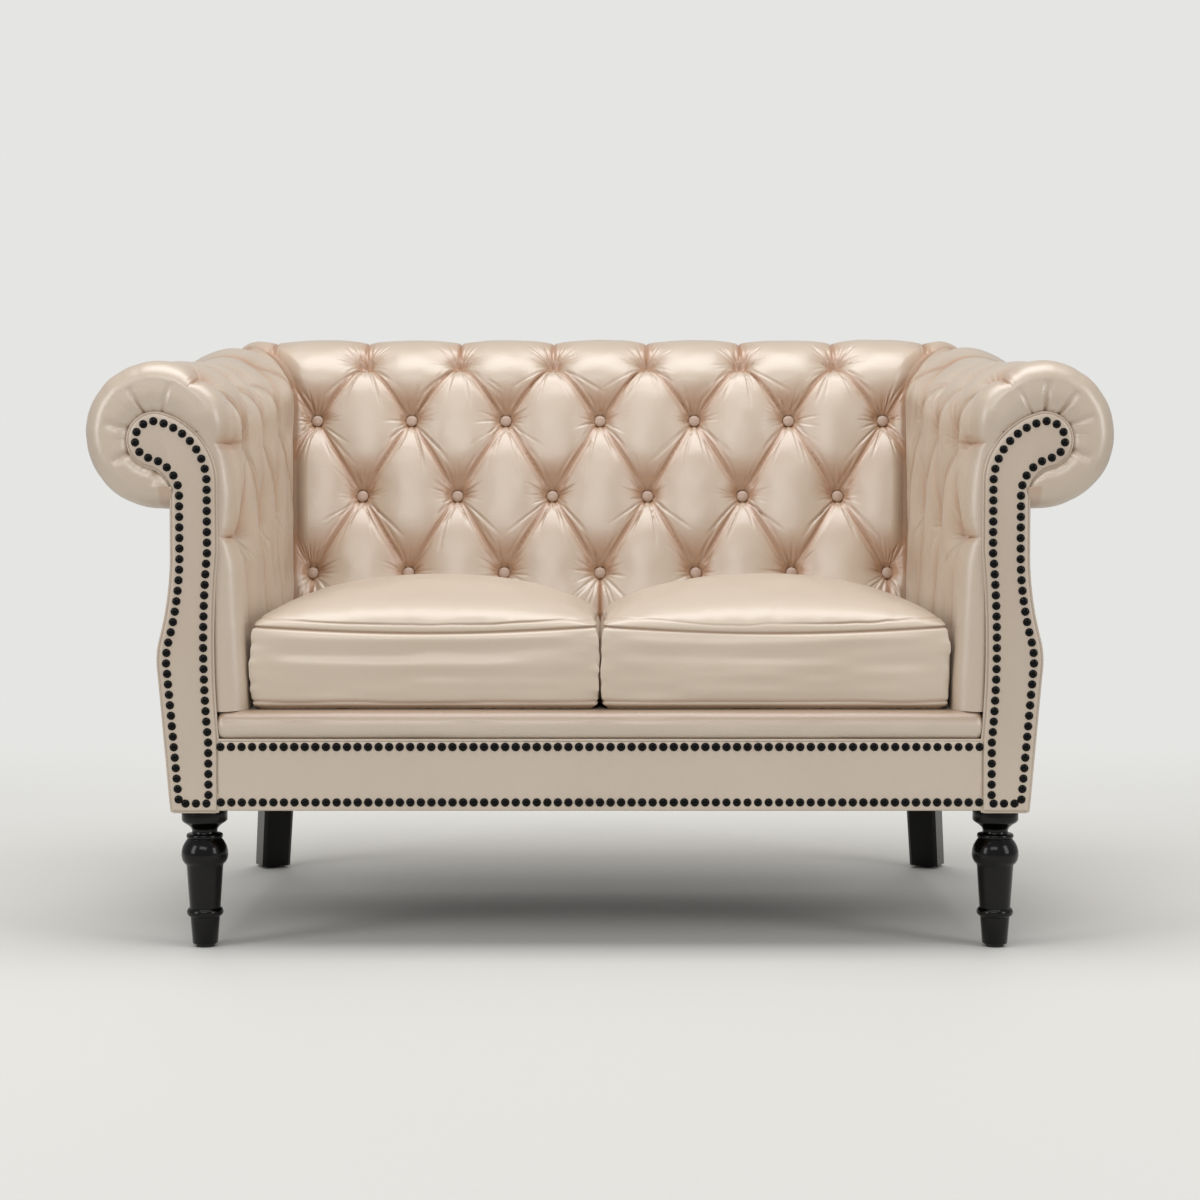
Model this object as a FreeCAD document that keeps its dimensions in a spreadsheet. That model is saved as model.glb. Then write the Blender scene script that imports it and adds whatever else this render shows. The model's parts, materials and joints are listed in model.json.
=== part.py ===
# Two-seat scroll-arm settee with a deep-buttoned back and arms, two loose seat cushions,
# nail-trimmed facings and apron, turned front legs and raked rear legs.
# X runs across the seat, Y from the front to the back and Z up, in millimetres.
# The origin is on the floor, below the middle of the overall box.
import FreeCAD, Part
import math
import os
import re
import Sketcher

Vector = FreeCAD.Vector

# Driving sizes, one cell each
SIZES = {
    # overall
    "overall_width": 1448, "overall_depth": 860, "back_height": 921, "arm_height": 831,
    "leg_height": 198, "rail_height": 98,
    # frame timber
    "board": 28, "block_depth": 64,
    # outer outline of the arms, as half widths and heights
    "base_half": 600, "knee_half": 616.4, "knee_low": 390, "knee_high_half": 614.6,
    "knee_high": 436, "knee_radius": 125, "neck_half": 598, "neck_drop": 271, "flare_radius": 471,
    # scroll that the arms and the back share
    "roll_radius": 104, "head_radius": 37, "shoulder_radius": 100, "throat_radius": 42,
    "head_out": 2, "head_drop": 9.5, "shoulder_out": 17.5, "roll_corner": 50, "flange_drop": 110,
    "waist_low": 290, "waist_radius": 1405, "panel_drop": 108, "roll_ease_share": 0.29,
    # inner faces of the padding
    "seat_half": 497, "back_foot": 118, "back_foot_height": 454, "back_pad_depth": 43,
    # facings, nails and outside covers
    "facing_thick": 12, "facing_round": 4, "nail_radius": 5.4, "nail_height": 2.6, "nail_pitch": 14.7,
    "nail_inset": 11, "panel_thick": 3.7, "apron_thick": 6, "apron_recess": 4, "low_nail_rise": 12,
    "high_nail_drop": 8,
    # seat deck
    "lip_height": 42, "lip_depth": 46, "lip_round": 17, "lip_gap": 1, "hessian_thick": 1, "deck_rear": 150,
    # tufting
    "half_pitch": 80, "row_step": 133, "top_row_step": 110, "back_top_row": 46, "arm_top_row": 93,
    "arm_first_column": -330, "pleat_depth": 12, "dimple_depth": 18, "dimple_reach": 72, "corner_fold": 22,
    "fold_reach": 46, "front_round": 30, "button_radius": 9.5, "button_thick": 6, "button_lift": 7.35,
    # cushions
    "cushion_inner": 3, "cushion_outer": 493, "cushion_front": 30, "cushion_back_gap": 4,
    "seam_height": 113, "cushion_crown": 72, "cushion_bow": 6, "cushion_bulge": 5, "leather": 2.2,
    # front legs, told from the top down
    "leg_plate_radius": 32, "leg_plate": 17, "leg_neck_radius": 18, "leg_cup": 14, "leg_neck": 5,
    "leg_ring_radius": 25.6, "leg_ring": 6, "leg_bulb_radius": 33, "leg_bulb": 38, "leg_shaft_radius": 25.7,
    "leg_shaft_low_radius": 21.7, "leg_bead_height": 40, "leg_bead": 11, "leg_bead_radius": 25.6,
    "leg_foot_radius": 17.7, "leg_foot_top_radius": 21, "front_leg_out": 562, "front_leg_behind": 43,
    # rear legs
    "rear_leg_side": 52, "rear_leg_foot_side": 50, "rear_leg_chamfer": 5, "rear_leg_turn": 25,
    "rear_leg_out": 555, "rear_leg_before": 36, "rear_leg_splay": 20, "rear_leg_rake": 66,
    # fixings and linings
    "bolt_radius": 4, "bolt_length": 70, "bolt_in_leg": 38, "bolt_play": 0.2, "glide_radius": 13,
    "glide_thick": 4, "dust_thick": 1, "spring_wire": 4, "spring_width": 50, "spring_pitch": 100,
    "spring_spacing": 170, "clip_width": 60, "clip_thick": 5, "clip_height": 12, "strap_width": 50,
    "strap_thick": 2.5, "former_thick": 8, "rib_ease": 2.4, "rib_spread": 190, "low_rail_height": 42,
    # running gap between soft pieces and what they lie against
    "soft_gap": 0.4,
}

doc = FreeCAD.newDocument("settee")
sheet = doc.addObject("Spreadsheet::Sheet", "sizes")
for row, (alias, value) in enumerate(SIZES.items(), 1):
    sheet.set(f"A{row}", alias)
    sheet.set(f"B{row}", str(value))
    sheet.setAlias(f"B{row}", alias)
doc.recompute()

SIDES = (("left", -1), ("right", 1))
PARTS = []

# Flats round each turned or round piece
BOLT_SIDES, GLIDE_SIDES, LEG_SIDES, BUTTON_SIDES, NAIL_SIDES = 8, 16, 20, 8, 6

# Twice the area below which a triangle counts as a line
SLIVER = 1e-6

# Roundness of the front legs: how full and how far up the bulb, then the cup under the plate
BULB_SHARES = ((0, 0), (0.62, 0.13), (1, 0.38), (0.72, 0.68), (-0.2, 1))
CUP_SHARES = ((0.3, 0.5), (1, 1))

# How far up the back each strap of webbing lies
STRAP_SHARES = (0.08, 0.37, 0.66)

# Places that several pieces share, as sums of cells
FRONT = "(nail_height - overall_depth / 2)"
ROLL_OUT = "(overall_width / 2 - roll_radius)"
ROLL_BACK = "(overall_depth / 2 - roll_radius)"
BACK_PLANE = f"({ROLL_BACK} - {ROLL_OUT} + neck_half)"
FACING_BACK = f"({FRONT} + facing_thick)"
STUMP_BACK = f"({FACING_BACK} + board)"
RAIL_TOP = "(leg_height + rail_height)"
DECK_TOP = f"({RAIL_TOP} + lip_height)"
CORE_IN = f"({ROLL_OUT} + shoulder_out - shoulder_radius)"
RAIL_FRONT = f"({FRONT} + apron_recess + apron_thick)"
FRONT_BLOCK_BACK = f"({FACING_BACK} + block_depth)"
REAR_BLOCK_FRONT = f"({BACK_PLANE} - block_depth)"
REAR_IN = f"({BACK_PLANE} - board)"
FRONT_LEG_Y = f"({FRONT} + front_leg_behind)"
REAR_LEG_Y = f"({BACK_PLANE} - rear_leg_before)"
LEG_TOP = "(leg_height - dust_thick)"
BORE = "(bolt_radius + bolt_play)"
NECK_TOP = "(arm_height - neck_drop)"
LEGS = (("front", "front_leg_out", FRONT_LEG_Y), ("rear", "rear_leg_out", REAR_LEG_Y))


def text(formula):
    """The formula with each cell name pointed at the sheet, for setExpression."""
    return re.sub(r"[a-z_]+", lambda word: "sizes." * (word.group() in SIZES) + word.group(), formula)


def number(formula):
    """What a formula of cell names comes to."""
    return float(sheet.evalExpression(formula))


def bind(thing, **formulas):
    """Binds properties of an object to formulas of cell names."""
    for name, formula in formulas.items():
        thing.setExpression(name.replace("__", "."), text(formula))
    return thing


def place(thing, x="0", y="0", z="0"):
    return bind(thing, Placement__Base__x=x, Placement__Base__y=y, Placement__Base__z=z)


def keep(thing, label):
    """Names a finished sub-part and marks it for export."""
    thing.Label = label
    PARTS.append(thing)
    return thing


def box(name, x, y, z, wide, deep, high):
    """A block from its lowest corner and its three sides, each a formula."""
    block = doc.addObject("Part::Box", name)
    bind(block, Length=wide, Width=deep, Height=high)
    return place(block, x, y, z)


def between(name, left, right, front, rear, low, high):
    """A block between two formulas each way."""
    return box(name, left, front, low, f"{right} - ({left})", f"{rear} - ({front})", f"{high} - ({low})")


def sided(side, inner, outer):
    """The lowest and highest X of a block between two half widths on one side."""
    return (inner, outer) if side > 0 else (f"-({outer})", f"-({inner})")


def rod(name, sides, radius, x, y, z, high):
    """An upright rod with flat sides, from the middle of its lower end."""
    bar = doc.addObject("Part::Prism", name)
    bar.Polygon = sides
    bind(bar, Circumradius=radius, Height=high)
    return place(bar, x, y, z)


def cut(name, base, tool):
    hollowed = doc.addObject("Part::Cut", name)
    hollowed.Base = base
    hollowed.Tool = tool
    return hollowed


def group(name, members):
    together = doc.addObject("Part::Compound", name)
    together.Links = members
    return together


def sketch_on(body, role, offset="0"):
    """A sketch on one of a body's own base planes, moved along its normal."""
    sketch = body.newObject("Sketcher::SketchObject", body.Name + "_sketch")
    base = [plane for plane in body.Origin.OriginFeatures if plane.Role == role][0]
    sketch.AttachmentSupport = (base, [""])
    sketch.MapMode = "FlatFace"
    return bind(sketch, AttachmentOffset__Base__z=offset)


def draw(sketch, corners, side=1):
    """Draws a closed outline and ties every corner to the sheet.

    Each corner is (x, y) or (x, y, radius, turn): the edge that arrives at it is then an arc of that
    radius, anticlockwise where turn is 1. The x of every corner is taken on the given side.
    """
    points = [Vector(side * number(corner[0]), number(corner[1]), 0) for corner in corners]
    ends = []
    for index, corner in enumerate(corners):
        start, end = points[index - 1], points[index]
        if len(corner) == 2:
            edge = sketch.addGeometry(Part.LineSegment(start, end), False)
            ends.append((edge, 1, 2))
            continue
        radius, turn = number(corner[2]), corner[3] * side
        chord = end - start
        reach = math.sqrt(max(radius ** 2 - chord.Length ** 2 / 4, 0))
        middle = (start + end) * 0.5 + Vector(-chord.y, chord.x, 0).normalize() * reach * turn
        first, last = (start, end) if turn > 0 else (end, start)
        low = math.atan2(first.y - middle.y, first.x - middle.x)
        high = math.atan2(last.y - middle.y, last.x - middle.x)
        high += 2 * math.pi * (high <= low)
        circle = Part.Circle(middle, Vector(0, 0, 1), radius)
        edge = sketch.addGeometry(Part.ArcOfCircle(circle, low, high), False)
        ends.append((edge, 1, 2) if turn > 0 else (edge, 2, 1))
        size = sketch.addConstraint(Sketcher.Constraint("Radius", edge, radius))
        sketch.setExpression(f"Constraints[{size}]", text(corner[2]))
    for index, corner in enumerate(corners):
        edge, _, tip = ends[index]
        following, root, _ = ends[(index + 1) % len(corners)]
        sketch.addConstraint(Sketcher.Constraint("Coincident", edge, tip, following, root))
        signed = f"{side} * ({corner[0]})"
        for axis, formula in (("DistanceX", signed), ("DistanceY", corner[1])):
            if corner[0] == "0" and axis == "DistanceX":
                sketch.addConstraint(Sketcher.Constraint("PointOnObject", edge, tip, -2))
                continue
            held = sketch.addConstraint(Sketcher.Constraint(axis, -1, 1, edge, tip, number(formula)))
            sketch.setExpression(f"Constraints[{held}]", text(formula))
    return sketch


def board_part(label, role, face, thick, corners, side=1):
    """A flat board: an outline on a plane through face, as thick as told along the plane's normal."""
    body = doc.addObject("PartDesign::Body", label)
    sketch = draw(sketch_on(body, role, face), corners, side)
    doc.recompute()
    pad = body.newObject("PartDesign::Pad", label + "_pad")
    pad.Profile = sketch
    bind(pad, Length=thick)
    return keep(body, label)


def feature(label, shape):
    """A sub-part whose shape is worked out here from the sheet."""
    made = doc.addObject("Part::Feature", label)
    made.Shape = shape
    made.Placement = FreeCAD.Placement()
    return keep(made, label)


def steps(start, end, count):
    """Evenly spaced values from start to end, both included."""
    return [start + (end - start) * index / count for index in range(count + 1)]


def triangle(a, b, c):
    """A flat three-sided face, or nothing where its corners lie in one line."""
    if (b - a).cross(c - a).Length < SLIVER:
        return None
    return Part.Face(Part.makePolygon([a, b, c, a]))


def net(grid):
    """Two flat triangles for each cell of a grid of points, split along its deeper diagonal."""
    faces = []
    for near, far in zip(grid, grid[1:]):
        for low in range(len(near) - 1):
            a, b, c, d = near[low], far[low], far[low + 1], near[low + 1]
            if (a - c).Length <= (b - d).Length:
                faces += [triangle(a, b, c), triangle(a, c, d)]
            else:
                faces += [triangle(a, b, d), triangle(b, c, d)]
    return faces


def lace(first, second):
    """Flat triangles between two lines of points that run the same way, the shorter way first."""
    faces, i, j = [], 0, 0
    while i < len(first) - 1 or j < len(second) - 1:
        step_first = j == len(second) - 1
        if i < len(first) - 1 and not step_first:
            step_first = (first[i + 1] - second[j]).Length <= (first[i] - second[j + 1]).Length
        if step_first:
            faces.append(triangle(first[i], first[i + 1], second[j]))
            i += 1
        else:
            faces.append(triangle(first[i], second[j + 1], second[j]))
            j += 1
    return faces


def solid_of(faces):
    """A solid from the flat faces that close it."""
    solid = Part.Solid(Part.makeShell([face for face in faces if face]))
    if solid.Volume < 0:
        solid.reverse()
    return solid


def slab(outer, inner):
    """A closed solid between two grids of points whose edges run alongside each other."""
    faces = net(outer) + net(inner)
    faces += lace(outer[0], inner[0]) + lace(outer[-1], inner[-1])
    for end in (0, -1):
        faces += lace([line[end] for line in outer], [line[end] for line in inner])
    return solid_of(faces)


def turned(base, axis, rings, sides):
    """A turned piece in flats, from rings of (radius, height) along an axis; a ring may be a point."""
    axis = Vector(axis).normalize()
    upright = abs(axis.z) >= abs(axis.x) + abs(axis.y)
    across = axis.cross(Vector(1, 0, 0) if upright else Vector(0, 0, 1)).normalize()
    beside = axis.cross(across)
    lines = []
    for radius, height in rings:
        middle = base + axis * height
        lines.append([middle + across * (radius * math.cos(angle)) + beside * (radius * math.sin(angle))
                      for angle in steps(0, 2 * math.pi, sides)])
    faces = net(lines)
    for ring in (lines[0], lines[-1]):
        faces += [triangle(ring[0], ring[k], ring[k + 1]) for k in range(1, sides - 1)]
    return solid_of(faces)


# Middles of the scroll's arcs on the arm, as half widths and heights
SCROLL_Z = "(arm_height - roll_radius)"
HEAD_X = f"({ROLL_OUT} + head_out)"
HEAD_Z = f"({SCROLL_Z} - head_drop)"
THROAT_X = "(neck_half + throat_radius)"
SHOULDER_X = f"({ROLL_OUT} + shoulder_out)"
SHOULDER_HEAD = "(shoulder_radius - head_radius)"
SHOULDER_Z = f"({HEAD_Z} - sqrt({SHOULDER_HEAD}^2 - (shoulder_out - head_out)^2))"
THROAT_HEAD = "(throat_radius + head_radius)"
THROAT_Z = f"({HEAD_Z} - sqrt({THROAT_HEAD}^2 - ({THROAT_X} - {HEAD_X})^2))"


def towards(start, end, reach, whole):
    """The place that lies reach along the way from start to end, which is whole long."""
    return f"({start} + ({end} - {start}) * {reach} / {whole})"


SHOULDER_TIP = (towards(SHOULDER_X, HEAD_X, "shoulder_radius", SHOULDER_HEAD),
                towards(SHOULDER_Z, HEAD_Z, "shoulder_radius", SHOULDER_HEAD))
THROAT_TIP = (towards(HEAD_X, THROAT_X, "head_radius", THROAT_HEAD),
              towards(HEAD_Z, THROAT_Z, "head_radius", THROAT_HEAD))
KNEE_AT_RAIL = f"(base_half + (knee_half - base_half) * rail_height / (knee_low - leg_height))"


def arm_outline(bottom, bottom_half):
    """Outline of an arm's front: waist, shoulder, head, throat, neck and knee."""
    return [
        (bottom_half, bottom),
        (CORE_IN, bottom),
        (CORE_IN, f"{RAIL_TOP} + soft_gap"),
        (CORE_IN, NECK_TOP, "waist_radius", 1),
        (CORE_IN, SHOULDER_Z),
        (*SHOULDER_TIP, "shoulder_radius", -1),
        (HEAD_X, f"{HEAD_Z} + head_radius", "head_radius", -1),
        (f"{HEAD_X} + head_radius", HEAD_Z, "head_radius", -1),
        (*THROAT_TIP, "head_radius", -1),
        ("neck_half", THROAT_Z, "throat_radius", 1),
        ("neck_half", NECK_TOP),
        ("knee_high_half", "knee_high", "flare_radius", 1),
        ("knee_half", "knee_low", "knee_radius", -1),
    ]


# Seat frame: hardwood rails between corner blocks that are drilled for the leg bolts
def seat_frame():
    keep(between("front_seat_rail", f"-{CORE_IN}", CORE_IN, RAIL_FRONT, STUMP_BACK, "leg_height", RAIL_TOP),
         "front_seat_rail")
    keep(between("rear_seat_rail", f"-{CORE_IN}", CORE_IN, REAR_IN, BACK_PLANE, "leg_height", RAIL_TOP),
         "rear_seat_rail")
    keep(between("centre_stretcher", "-board / 2", "board / 2", STUMP_BACK, REAR_IN, "leg_height",
                 f"{RAIL_TOP} - board"), "centre_stretcher")
    for name, side in SIDES:
        keep(between(f"side_seat_rail_{name}", *sided(side, "base_half - board", "base_half"),
                     FRONT_BLOCK_BACK, REAR_BLOCK_FRONT, "leg_height", RAIL_TOP), f"side_seat_rail_{name}")
        spans = ((FACING_BACK, FRONT_BLOCK_BACK), (REAR_BLOCK_FRONT, BACK_PLANE))
        for (end, bolt_x, bolt_y), (front, rear) in zip(LEGS, spans):
            label = f"{end}_corner_block_{name}"
            block = between(label + "_blank", *sided(side, CORE_IN, "base_half"), front, rear,
                            "leg_height", RAIL_TOP)
            drill = rod(label + "_drill", BOLT_SIDES, BORE, f"{side} * {bolt_x}", bolt_y,
                        "leg_height - board", "board + bolt_length - bolt_in_leg - dust_thick + bolt_play")
            keep(cut(label, block, drill), label)


seat_frame()


# Arm ends: a profiled stump with a covered facing at the front, and a post at the rear
def arm_ends():
    post_top = "(back_height - roll_radius - flange_drop)"
    for name, side in SIDES:
        board_part(f"arm_stump_{name}", "XZ_Plane", f"-{STUMP_BACK}", "board",
                   arm_outline(RAIL_TOP, KNEE_AT_RAIL), side)
        facing = board_part(f"arm_facing_{name}", "XZ_Plane", f"-{FACING_BACK}", "facing_thick",
                            arm_outline("leg_height", "base_half"), side)
        doc.recompute()
        front = min(facing.Shape.Faces, key=lambda face: face.CenterOfMass.y)
        rim = [f"Edge{index}" for index, edge in enumerate(facing.Shape.Edges, 1)
               if any(edge.isSame(other) for other in front.Edges)]
        blank = facing.Tip
        bevel = facing.newObject("PartDesign::Chamfer", f"arm_facing_{name}_edge")
        bevel.Base = (blank, rim)
        bind(bevel, Size="facing_round")
        facing.Tip = bevel
        board_part(f"arm_rear_post_{name}", "XZ_Plane", f"-{BACK_PLANE}", "board", [
            (KNEE_AT_RAIL, RAIL_TOP),
            (CORE_IN, RAIL_TOP),
            (CORE_IN, post_top),
            ("neck_half", post_top),
            ("neck_half", NECK_TOP),
            ("knee_high_half", "knee_high", "flare_radius", 1),
            ("knee_half", "knee_low", "knee_radius", -1),
        ], side)
        keep(between(f"arm_low_rail_{name}", *sided(side, f"{CORE_IN} + strap_thick", f"{CORE_IN} + board"),
                     STUMP_BACK, REAR_IN, DECK_TOP, f"{DECK_TOP} + low_rail_height"), f"arm_low_rail_{name}")


arm_ends()


# Turned front legs: foot, bead, taper, bulb, ring and plate, with a bore for the hanger bolt
def front_leg(label, side):
    neck, shaft, bead = number("leg_neck_radius"), number("leg_shaft_radius"), number("leg_bead_radius")
    bulb, plate, ring = number("leg_bulb_radius"), number("leg_plate_radius"), number("leg_ring_radius")
    top = number(LEG_TOP)
    cup_top = top - number("leg_plate")
    cup_low = cup_top - number("leg_cup")
    ring_top = cup_low - number("leg_neck")
    ring_low = ring_top - number("leg_ring")
    bulb_low = ring_low - number("leg_bulb")
    bead_low = number("glide_thick") + number("leg_bead_height")
    bead_top = bead_low + number("leg_bead")
    rings = [(number("leg_foot_radius"), number("glide_thick")), (number("leg_foot_top_radius"), bead_low)]
    rings += [(bead, height) for height in steps(bead_low, bead_top, 4)[1:-1:2]]
    rings += [(number("leg_shaft_low_radius"), bead_top)]
    rings += [(shaft + (bulb - shaft) * full, bulb_low + (ring_low - bulb_low) * up)
              for full, up in BULB_SHARES]
    rings += [(ring, ring_low), (ring, ring_top), (neck, ring_top), (neck, cup_low)]
    rings += [(neck + (plate - neck) * wide, cup_low + (cup_top - cup_low) * up) for wide, up in CUP_SHARES]
    rings += [(plate, top), (number(BORE), top), (number(BORE), top - number("bolt_in_leg"))]
    foot = Vector(side * number("front_leg_out"), number(FRONT_LEG_Y), 0)
    feature(label, turned(foot, (0, 0, 1), rings, LEG_SIDES))


# Rear legs: square, chamfered, turned towards their corner, raked back and splayed out
def rear_leg(label, side):
    body = doc.addObject("PartDesign::Body", label)
    turn = f"({-side} * rear_leg_turn)"
    ends = (("glide_thick", "rear_leg_foot_side", "rear_leg_splay", "rear_leg_rake"),
            (LEG_TOP, "rear_leg_side", "0", "0"))
    sketches = []
    for height, width, out, back in ends:
        half, flat = f"({width} / 2)", f"({width} / 2 - rear_leg_chamfer)"
        ring = [(flat, half), (half, flat), (half, f"-{flat}"), (flat, f"-{half}"),
                (f"-{flat}", f"-{half}"), (f"-{half}", f"-{flat}"), (f"-{half}", flat), (f"-{flat}", half)]
        turned = [(f"({side} * {out} + ({x}) * cos({turn}) - ({y}) * sin({turn}))",
                   f"({back} + ({x}) * sin({turn}) + ({y}) * cos({turn}))") for x, y in ring]
        sketches.append(draw(sketch_on(body, "XY_Plane", height), turned))
    doc.recompute()
    loft = body.newObject("PartDesign::AdditiveLoft", label + "_loft")
    loft.Profile = sketches[0]
    loft.Sections = [sketches[1]]
    loft.Ruled = True
    doc.recompute()
    bore = sketch_on(body, "XY_Plane", LEG_TOP)
    circle = bore.addGeometry(Part.Circle(Vector(0, 0, 0), Vector(0, 0, 1), number(BORE)), False)
    bore.addConstraint(Sketcher.Constraint("Coincident", circle, 3, -1, 1))
    held = bore.addConstraint(Sketcher.Constraint("Radius", circle, number(BORE)))
    bore.setExpression(f"Constraints[{held}]", text(BORE))
    doc.recompute()
    drilled = body.newObject("PartDesign::Pocket", label + "_bore")
    drilled.Profile = bore
    bind(drilled, Length="bolt_in_leg")
    keep(place(body, f"{side} * rear_leg_out", REAR_LEG_Y), label)


def legs():
    bolts, glides = [], []
    for name, side in SIDES:
        front_leg(f"front_leg_{name}", side)
        rear_leg(f"rear_leg_{name}", side)
        steps_out = (("0", "0"), (f"{side} * rear_leg_splay", "rear_leg_rake"))
        for (end, x, y), (out, back) in zip(LEGS, steps_out):
            bolts.append(rod(f"bolt_{end}_{name}", BOLT_SIDES, "bolt_radius", f"{side} * {x}", y,
                             f"{LEG_TOP} - bolt_in_leg", "bolt_length"))
            glides.append(rod(f"glide_{end}_{name}", GLIDE_SIDES, "glide_radius", f"{side} * {x} + {out}",
                              f"{y} + {back}", "0", "glide_thick"))
    keep(group("leg_bolts", bolts), "leg_bolts")
    keep(group("foot_glides", glides), "foot_glides")


legs()


# Dust cover: black cloth stapled under the rails, holed for the leg bolts
def dust_cover():
    cloth = between("dust_cloth", "board / 2 - base_half", "base_half - board / 2",
                    f"{FACING_BACK} + board / 2", f"{BACK_PLANE} - board / 2", LEG_TOP, "leg_height")
    holes = [rod(f"cloth_hole_{end}_{name}", BOLT_SIDES, BORE, f"{side} * {x}", y, f"{LEG_TOP} - board",
                 "2 * board") for name, side in SIDES for end, x, y in LEGS]
    keep(cut("dust_cover", cloth, group("cloth_holes", holes)), "dust_cover")


dust_cover()


# Seat front and deck: a covered apron over the rail, the padded lip above it and the deck behind
def seat_front():
    keep(between("front_apron", f"soft_gap - {CORE_IN}", f"{CORE_IN} - soft_gap", f"{FRONT} + apron_recess",
                 RAIL_FRONT, "leg_height", RAIL_TOP), "front_apron")
    half = f"({CORE_IN} - lip_gap)"
    back = f"({FRONT} + lip_depth)"
    board_part("seat_lip", "YZ_Plane", f"-{half}", f"2 * {half}", [
        (back, RAIL_TOP),
        (back, DECK_TOP),
        (f"({FRONT} + lip_round)", DECK_TOP),
        (FRONT, f"({DECK_TOP} - lip_round)", "lip_round", 1),
        (FRONT, f"({RAIL_TOP} + lip_round)"),
        (f"({FRONT} + lip_round)", RAIL_TOP, "lip_round", 1),
    ])
    cloth_top = f"({RAIL_TOP} + hessian_thick)"
    keep(between("seat_hessian", f"-{half}", half, back, "deck_rear", RAIL_TOP, cloth_top), "seat_hessian")
    keep(between("seat_deck_pad", f"-{half}", half, back, "deck_rear", cloth_top, DECK_TOP), "seat_deck_pad")


seat_front()


# Serpentine seat springs: flat zigzags of wire held in clips on the front and rear rails
def ribbon(route, wide, low, high):
    """A flat strip of constant width along a route in plan, as a straight-sided solid."""
    left, right = [], []
    for index, here in enumerate(route):
        before, after = route[max(index - 1, 0)], route[min(index + 1, len(route) - 1)]
        bisector = Vector(0, 1, 0)
        leaving = bisector
        if 0 < index < len(route) - 1:
            arriving = Vector(here[0] - before[0], here[1] - before[1], 0).normalize()
            leaving = Vector(after[0] - here[0], after[1] - here[1], 0).normalize()
            bisector = (arriving + leaving).normalize()
        sideways = Vector(-bisector.y, bisector.x, 0) * (wide / 2 / bisector.dot(leaving))
        left.append(Vector(here[0], here[1], low) + sideways)
        right.append(Vector(here[0], here[1], low) - sideways)
    ring = left + right[::-1]
    return Part.Face(Part.makePolygon(ring + [ring[0]])).extrude(Vector(0, 0, high))


def springs():
    wire, clip, gap = number("spring_wire"), number("clip_thick"), number("soft_gap")
    start, end = number(STUMP_BACK), number(REAR_IN)
    top = number(RAIL_TOP) - gap
    turns = 2 * round((end - start) / number("spring_pitch") / 2) + 1
    step = (end - start - 2 * clip) / turns
    count = 2 * int(number(CORE_IN) / number("spring_spacing"))
    coils, clips = [], []
    for index in range(count):
        middle = (index - (count - 1) / 2) * number("spring_spacing")
        route = [(middle, start + clip)]
        for turn in range(turns):
            swing = number("spring_width") / 2 * (-1) ** turn
            along = start + clip + turn * step
            route.append((middle + swing, along + step / 3))
            route.append((middle + swing, along + step * 2 / 3))
        route.append((middle, end - clip))
        coils.append(ribbon(route, wire, top - wire, wire))
        for low in (start, end - clip):
            corner = Vector(middle - number("clip_width") / 2, low, top - number("clip_height"))
            clips.append(Part.makeBox(number("clip_width"), clip, number("clip_height"), corner))
    feature("seat_springs", Part.makeCompound(coils))
    feature("spring_clips", Part.makeCompound(clips))


springs()


# Padding: faces that lean back from their foot and roll over the scroll, in flat triangles
ROLL_X, ROLL_Y = number(ROLL_OUT), number(ROLL_BACK)
ROLL_RADIUS, CORNER = number("roll_radius"), number("roll_corner")
BACK_ROLL_Z = number("back_height") - ROLL_RADIUS
GAP = number("soft_gap")
DECK = number(DECK_TOP) + GAP
PAD_FRONT = number(FACING_BACK) - number("facing_round")
THROAT = (number(THROAT_X) - ROLL_X, number(THROAT_Z) - number(SCROLL_Z))
HEAD = (number("head_out"), -number("head_drop"))
SHOULDER = (number("shoulder_out"), number(SHOULDER_Z) - number(SCROLL_Z))
NECK = number("neck_half") - ROLL_X


class Face:
    """Section of a padded or boarded face: a straight line from its foot, then an arc.

    Reach is the distance outwards from the middle line of the roll. A place is told by v: how far
    it lies along the section from where the arc starts, up the arc where v is positive and down
    the line where v is negative. Below the foot the face is upright.
    """

    def __init__(self, foot, centre, radius):
        self.foot, self.centre, self.radius = foot, centre, radius
        wide, high = centre[0] - foot[0], centre[1] - foot[1]
        whole = math.hypot(wide, high)
        self.lean = math.atan2(wide, high) - math.asin(radius / whole)
        self.length = math.sqrt(whole ** 2 - radius ** 2)
        self.start = math.pi - self.lean

    def at(self, v):
        """Reach, height and outward normal at v."""
        angle = self.start - max(v, 0) / self.radius
        normal = (math.cos(angle), math.sin(angle))
        reach = self.centre[0] + self.radius * normal[0]
        height = self.centre[1] + self.radius * normal[1]
        if v < GAP - self.length:
            normal = (-1, 0)
        down = max(min(v, 0), -self.length)
        reach += down * math.sin(self.lean)
        height += down * math.cos(self.lean) + min(v + self.length, 0)
        return reach, height, normal

    def reach_at(self, height):
        """Reach of the inner side of the face at a height."""
        rise = height - self.centre[1]
        if rise >= self.radius * math.sin(self.start):
            return self.centre[0] - math.sqrt(max(self.radius ** 2 - rise ** 2, 0))
        return self.foot[0] + max(height - self.foot[1], 0) * math.tan(self.lean)


BACK_START = Face((number("back_foot") - ROLL_Y, number("back_foot_height")), (0, BACK_ROLL_Z), ROLL_RADIUS)


def rise(y):
    """Height of the arm roll's middle line: level over the stump, then up to the back's at the corner."""
    start = number(STUMP_BACK)
    along = (y - start) / (ROLL_Y + BACK_START.at(0)[0] - start)
    share = min(max(along, 0), 1)
    ease = number("roll_ease_share")
    return number(SCROLL_Z) + (BACK_ROLL_Z - number(SCROLL_Z)) * (ease * share + (1 - ease) * share ** 2)


def padded_face(run, y):
    if run == "back":
        return BACK_START
    return Face((number("seat_half") - ROLL_X, DECK), (0, rise(y)), ROLL_RADIUS)


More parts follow.
